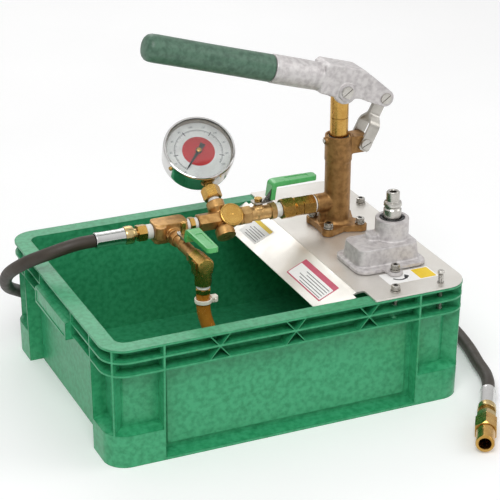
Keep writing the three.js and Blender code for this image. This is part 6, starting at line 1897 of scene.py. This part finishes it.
@dataclass
class Gauge:
    """The pressure gauge: chrome case, glass, printed dial and pointer."""

    reach: float = 89.5
    root: tuple[float, float, float] = (-2.0, PIPE_Y, PIPE_Z)
    lean: float = 51.0
    twist: float = -6.3
    diameter: float = 85.0
    bezel: float = 86.8
    opening: float = 80.8
    dial: float = 81.2
    first: float = 225.0
    sweep: float = 270.0

    def build(self) -> None:
        """Adds the stem, the case, the dial and the pointer."""
        self.add_stem()
        self.add_case()
        self.add_dial()
        self.add_pointer()

    @property
    def up(self) -> Vector:
        """The direction of the stem."""
        lean = radians(self.lean)
        return Vector((0, sin(lean), cos(lean)))

    @property
    def face(self) -> Matrix:
        """The frame of the dial, with its Y axis along the stem."""
        out = Vector((0, -self.up.z, self.up.y))
        normal = Matrix.Rotation(radians(self.twist), 3, self.up) @ out
        turn = Matrix((self.up.cross(normal), self.up, normal)).transposed().to_4x4()
        return Matrix.Translation(Vector(self.root) + self.up * self.reach) @ turn

    def add_stem(self) -> None:
        """Adds the brass stem with its hexagon and thread tape."""
        place = aim(self.root, self.up, 0.78)
        body = join(threaded(12.8, 1.3, 12.4, 25.3), hexagon(20, 28, 43, 0, 0.8),
                    turned([(0, 23), (6.2, 23), (6.2, 43.6), (5.9, 44), (5.9, 51), (0, 51)], 48))
        body = cut(body, cylinder(5, 10, 60, 32))
        piece("gauge_stem_brass", body, Looks.brass, place, node="gauge_stem")
        piece("tape_gauge", tape_wraps(13.8, 4.8), Looks.tape, place @ at(0, 0, 23.1))

    def add_case(self) -> None:
        """Adds the chrome case, its bezel, side screw and glass."""
        radius, rim, wall = self.diameter / 2, self.bezel / 2, 1.6
        case = turned([(0, -17), (radius - 9, -17), (radius - 5, -16), (radius - 2, -13.6),
                       (radius - 0.4, -10), (radius, -6), (radius, 13.5), (radius - wall, 13.5),
                       (radius - wall, -6), (radius - 2.2, -9.4), (radius - 6, -14.3), (0, -15.4)], 128)
        case = cut(case, drum(aim((0, 0, 0), (0, -1, 0)), 12.4, 30, 60, 40))
        piece("gauge_case_chrome", case, Looks.chrome, self.face, node="gauge_case")
        mouth = self.opening / 2
        bezel = turned(
            [(radius + 0.3, 7), (rim - 0.3, 7), (rim, 7.5), (rim, 15), (rim - 0.5, 16.8), (rim - 1.3, 17.9),
             (rim - 2.2, 18.2), (mouth + 0.4, 18.2), (mouth, 17.8), (mouth, 16.7), (radius + 0.3, 16.7)], 160
        )
        piece("gauge_bezel_chrome", bezel, Looks.chrome, self.face, node="gauge_bezel")
        glass = rounded(cylinder(self.diameter, 13.8, 16.3, 128), 0.2)
        piece("gauge_glass", glass, Looks.glass, self.face, node="gauge_lens")
        # The ring between dial and glass is grey-tan as painted shade and reflection of the inner wall.
        inner = turned([(radius - 2.1, 7.9), (radius - 2.0, 13.6), (mouth - 0.6, 13.6), (mouth - 0.9, 13.2),
                        (radius - 3.4, 7.9)], 128)
        piece("gauge_inner_ring", inner, Looks.wall_shade_and_reflection, self.face)
        screw = turned([(0, -1.2), (2.4, -1.2), (2.6, -0.9), (2.6, 1.4), (2.0, 2.2), (0, 2.4)], 32)
        screw = cut(screw, slab(-4, 4, -0.35, 0.35, 1.5, 3))
        side = spin(radians(202)) @ aim((rim - 0.2, 0, 11.4), RIGHT, 0.6)
        piece("gauge_side_screw", screw, Looks.brass, self.face @ side)

    def add_dial(self) -> None:
        """Adds the white dial, its ticks, plain numbers and bare red centre."""
        plate = cut(rounded(cylinder(self.dial, 6.3, 7.5, 128), 0.15), cylinder(4, 0, 20, 32))
        piece("dial_plate", plate, Looks.dial, self.face, node="gauge_dial")
        ticks: list[Mesh] = []
        steps = 100
        for k in range(steps + 1):
            angle = radians(self.first - self.sweep * k / steps)
            long_one, middle = k % 25 == 17, k % 5 == 2
            inner = 25.2 if long_one else 26.8 if middle else 27.6
            outer = 31.0 if long_one else 29.2
            half = 0.42 if long_one else 0.2 if middle else 0.13
            ticks.append(moved(slab(inner, outer, -half, half, 7.42, 7.62), spin(angle)))
        ticks.append(self.sweep_ring(29.4, 29.1, 7.42, 7.62))
        piece("dial_ticks", gathered(ticks), Looks.ink, self.face)
        red = cut(cylinder(39.4, 7.4, 7.64, 96), cylinder(4, 0, 20, 32))
        piece("dial_centre", red, Looks.red, self.face)
        self.add_numbers()

    def sweep_ring(self, outer: float, inner: float, z0: float, z1: float) -> Mesh:
        """Makes the line that runs along the ticks."""
        start, end = self.first - self.sweep, self.first
        outline = arc(0, 0, outer, start, end, 90) + arc(0, 0, inner, end, start, 90)
        return prism(outline, z0, z1)

    def add_numbers(self) -> None:
        """Adds the plain numbers of the dial."""
        for k in range(11):
            angle = radians(self.first - self.sweep * k / 10)
            curve = bpy.data.curves.new("number", "FONT")
            curve.body = str(20 * k)
            curve.size = 3.4 * MM
            curve.extrude = 0.08 * MM
            curve.align_x = "CENTER"
            curve.align_y = "CENTER"
            source = bpy.data.objects.new("number", curve)
            mesh = bpy.data.meshes.new_from_object(source)
            bpy.data.objects.remove(source)
            bpy.data.curves.remove(curve)
            mesh.transform(Matrix.Scale(1 / MM, 4))
            mesh.transform(at(33.4 * cos(angle), 33.4 * sin(angle), 7.52))
            piece(f"dial_number_{k}", mesh, Looks.faint, self.face)

    def add_pointer(self) -> None:
        """Adds the thin black pointer with its broad tail and hub."""
        direction = spin(radians(self.first))
        hand = moved(prism([(-11, -3), (-10.4, -3.3), (0, -2.0), (26, -0.75), (30, -0.15), (30, 0.15),
                            (26, 0.75), (0, 2.0), (-10.4, 3.3), (-11, 3)], 9, 10), direction)
        hub = turned([(0, 2), (1.5, 2), (1.5, 8.9), (4, 8.9), (4, 10.8), (3.6, 11.2), (2.2, 11.4), (0, 11.4)],
                     48)
        hub = cut(hub, moved(slab(-5, 5, -0.4, 0.4, 10.9, 12), direction))
        piece("pointer_hand", join(hand, hub), Looks.black, self.face, "pointer", "gauge_pointer")
        pin = turned([(0, 11.0), (3.0, 11.0), (3.0, 11.9), (2.4, 12.3), (0, 12.4)], 40)
        piece("pointer_pin", pin, Looks.brass, self.face, "pointer")


def crimped(diameter: float, length: float, bore: float) -> Mesh:
    """Makes a crimped ferrule with long flats between its round ends.

    Args:
        diameter: Its diameter at the ends.
        length: Its length along +Z.
        bore: Room for the hose.

    Returns:
        The ferrule.
    """
    radius = diameter / 2
    end = 4.0
    shell = turned(
        [(0, 0), (radius - 0.6, 0), (radius, 0.6), (radius, end), (radius - 0.35, end + 1),
         (radius - 0.35, length - end - 1), (radius, length - end), (radius, length), (0, length)], 96
    )
    flats = prism(arc(0, 0, radius * 1.045, 22.5, 337.5, 7), end + 1, length - end - 1)
    ends = [cylinder(2 * diameter, -1, end + 1, 32), cylinder(2 * diameter, length - end - 1, length + 1, 32)]
    body = rounded(common(shell, join(flats, *ends)), 0.25, 2, 30)
    return cut(body, cylinder(bore, -2, length - 4), cylinder(8.6, -2, length + 2))


@dataclass
class HoseFittings:
    """The crimped fitting at the manifold and the fittings at the far end of the hose."""

    near: tuple[float, float, float] = (-159.2, PIPE_Y, PIPE_Z)
    far: tuple[float, float, float] = (237.5, -191.6, 12.3)
    way: tuple[float, float, float] = (-0.533, -0.846, 0.0)
    ferrule: float = 18.5

    def build(self) -> list[str]:
        """Adds the fittings and gives the names of the pieces at the far end."""
        self.add_near()
        return self.add_far()

    def add_near(self) -> None:
        """Adds the chrome ferrule and swivel nut at the manifold."""
        place = aim(self.near, RIGHT)
        shell = moved(crimped(self.ferrule, 35.6, 15.2), at(0, 0, 0.6))
        collar = turned([(4.3, 36.3), (9.6, 36.3), (10.75, 38.2), (10.75, 44.9), (9.9, 46.8), (6.5, 46.8),
                         (6.3, 51.4), (5.1, 51.4), (5.1, 43.4), (4.3, 43.4)], 96)
        piece("fitting_ferrule", shell, Looks.chrome, place, node="hose_fitting")
        piece("fitting_collar", collar, Looks.golden, place)

    def add_far(self) -> list[str]:
        """Adds the fittings at the free end of the hose.

        Returns:
            The names of the pieces.
        """
        place = aim(self.far, self.way)
        collar = turned([(4.0, 39.1), (9.6, 39.1), (10.75, 40.6), (10.75, 48.6), (10.0, 50), (6.5, 50),
                         (6.5, 60), (4.0, 60)], 96)
        piece("end_ferrule", crimped(self.ferrule, 39, 15.2), Looks.chrome, place, node="end_fitting")
        piece("end_collar", collar, Looks.golden, place)
        nut = cut(hexagon(21, 60.2, 72, 0.0, 0.9), cylinder(8, 50, 80, 32), ring(40, 22.4, 62.4, 63.1, 48))
        piece("end_nut", nut, Looks.golden, place)
        body = join(hexagon(24, 72.3, 97, 0.0, 0.9), turned([(0, 90), (10.9, 90), (10.9, 101), (10.6, 103),
                                                             (10.6, 121.6), (10.0, 122.8), (0, 122.8)], 96))
        body = cut(body, cylinder(12, 60, 130), ring(40, 25.6, 83, 83.8, 64),
                   turned([(0, 120.8), (6, 120.8), (7.4, 123), (0, 123)]))
        piece("end_adapter_brass", body, Looks.brass, place, node="end_adapter")
        return ["end_ferrule", "end_collar", "end_nut", "end_adapter_brass"]


@dataclass
class FillingPump:
    """The gear pump that a drill drives, under and through the plate."""

    x: float = CASE_X
    y: float = CASE_Y
    tower_x: float = 16.0
    tower_y: float = 5.0
    idler_x: float = -5.5
    idler_y: float = 9.0
    box_top: float = 171.0

    def build(self) -> None:
        """Adds the case, its bearing, shaft, gears and cover."""
        self.add_case()
        self.add_bearing()
        self.add_gears()
        self.add_cover()

    @property
    def place(self) -> Matrix:
        """The frame of the case."""
        return at(self.x, self.y)

    def add_case(self) -> None:
        """Adds the sand-cast case."""
        tower, idler, ear = (self.tower_x, self.tower_y), (self.idler_x, self.idler_y), (-4, -43)
        parts = [
            prism(rounded_box(90, 69, 14, 12), 146.4, 150.8),
            drum(at(*ear), 18, 146.4, 150.8),
            slab(-13, 5, -43, -27, 146.4, 150.8),
            prism(rounded_box(81, 51, 12, 10), 149, self.box_top, rounded_box(76, 46, 9.5, 10)),
            moved(turned([(0, 150), (20.6, 150), (19.8, 174), (19.8, 195.4), (0, 195.4)]), at(*tower)),
            moved(turned([(0, 150), (11, 150), (10.2, 174), (9.8, 177.6), (0, 178)]), at(*idler)),
        ]
        body = cast(parts, 0.9, 6)
        holes = [drum(at(*tower), 21.7, 140, 200), drum(at(*tower), 30, 184, 200),
                 drum(at(*tower), 26.6, 140, 159), drum(at(*idler), 26.6, 140, 159),
                 drum(at(*idler), 8.7, 140, 169, 40), drum(at(*ear), 6.6, 140, 160, 32),
                 slab(-60, 60, -70, 60, 140, 146.0)]
        faces = [drum(at(*tower), 60, 196, 204), drum(at(*ear), 14.6, 150.7, 158)]
        body = cut(body, *holes, *faces)
        piece("gear_case_casting", body, Looks.aluminium, self.place, node="gear_case", weigh=False)

    def add_bearing(self) -> None:
        """Adds the bearing, the slotted black ring above it and the drive shaft."""
        place = self.place @ at(self.tower_x, self.tower_y)
        races = gathered([ring(29.4, 26.8, 184.3, 193, 96), ring(24.4, 21.7, 184.3, 193, 96)])
        shield = turned([(12.0, 185), (13.6, 185), (13.6, 192.2), (13.0, 192.5), (12.6, 192.5),
                         (12.0, 192.2)], 96)
        piece("bearing_races", rounded(races, 0.2), Looks.steel, place, node="bearing")
        piece("bearing_shield", shield, Looks.seal, place)
        seal = turned([(11.4, 193.2), (14.7, 193.2), (14.7, 195.4), (14.1, 195.9), (12.0, 195.9),
                       (11.4, 195.2)], 96)
        slots = [moved(slab(10.0, 15.2, -1.1, 1.1, 194.9, 197), spin(radians(30 + 60 * k))) for k in range(6)]
        piece("tower_ring", cut(seal, *slots), Looks.black, place)
        shaft = turned([(0, 138), (5.7, 138), (6, 138.4), (6, 158.3), (10.2, 158.3), (10.5, 158.6),
                        (10.5, 206), (9.4, 207.6), (9.4, 209.0), (10.5, 210.6), (10.5, 213.6), (9.8, 215),
                        (8.4, 215.6), (7.8, 216.2), (7.8, 226.2), (7.0, 227.4), (0, 227.4)], 96)
        socket = join(
            hexagon(8, 221.4, 229, 0.2, 0.2), turned([(0, 226.6), (4.6, 226.6), (5.4, 228), (0, 228)], 48)
        )
        piece("drive_spindle", cut(shaft, socket), Looks.steel, place, "drive", "drive_shaft")

    def add_gears(self) -> None:
        """Adds the two meshing gears."""
        line = atan2(self.tower_y - self.idler_y, self.tower_x - self.idler_x)
        wheels = (("drive_gear", self.tower_x, self.tower_y, 12.6, "drive", line),
                  ("idler_gear", self.idler_x, self.idler_y, 0.0, "idler", line + pi / 12))
        for name, x, y, bore, body, turn in wheels:
            gear = rounded(self.gear(turn), 0.15, 2, 40)
            if bore:
                gear = cut(gear, cylinder(bore, 140, 165, 48))
            else:
                gear = join(gear, cylinder(8.0, 140.6, 168.4, 40))
            piece(f"{name}_steel", gear, Looks.steel, self.place @ at(x, y), body, name)

    def gear(self, turn: float) -> Mesh:
        """Makes one gear with twelve teeth.

        Args:
            turn: Angle of its first tooth.

        Returns:
            The gear.
        """
        teeth, pitch = 12, 10.93
        outline: Outline = []
        for k in range(teeth):
            middle = tau * k / teeth + turn
            for radius, share in (
                (pitch - 2.1, -0.38), (pitch - 0.6, -0.25), (pitch + 0.9, -0.17), (pitch + 1.75, -0.1),
                (pitch + 1.75, 0.1), (pitch + 0.9, 0.17), (pitch - 0.6, 0.25), (pitch - 2.1, 0.38)
            ):
                angle = middle + tau / teeth * share
                outline.append((radius * cos(angle), radius * sin(angle)))
        return prism(outline, 146, 158)

    def add_cover(self) -> None:
        """Adds the cover with its plug and its inlet below the plate."""
        base = cast([prism(rounded_box(70, 52, 9, 8), 132.4, 143.4),
                     turned([(0, 94), (9, 94), (9, 128), (11, 132), (11, 138), (0, 138)])], 0.85, 5)
        plug = prism(rounded_box(59.5, 44.2, 6, 8), 140, 145.7)
        lip = turned([(0, 92.4), (9.0, 92.4), (9.8, 93.2), (9.8, 94.8), (9.0, 95.8), (0, 95.8)])
        body = join(base, plug, lip)
        body = cut(body, cylinder(12, 80, 143.9), drum(at(self.tower_x, self.tower_y), 12.7, 137, 150),
                   drum(at(self.idler_x, self.idler_y), 8.7, 137, 150, 40))
        piece("gear_cover_casting", body, Looks.aluminium, self.place, node="gear_cover", weigh=False)


# Main


def main() -> None:
    """Builds the whole picture of the pump."""
    Studio().build()
    fittings = HoseFittings().build()
    PressureHose().build(fittings)
    DrainTube().build()
    for part in (Tank(), CoverPlate(), Screws(), PumpColumn(), LeverArm(), PipeRun(), CheckValve(),
                 DrainBranch(), Gauge(), FillingPump()):
        part.build()


if __name__ == "__main__":
    main()
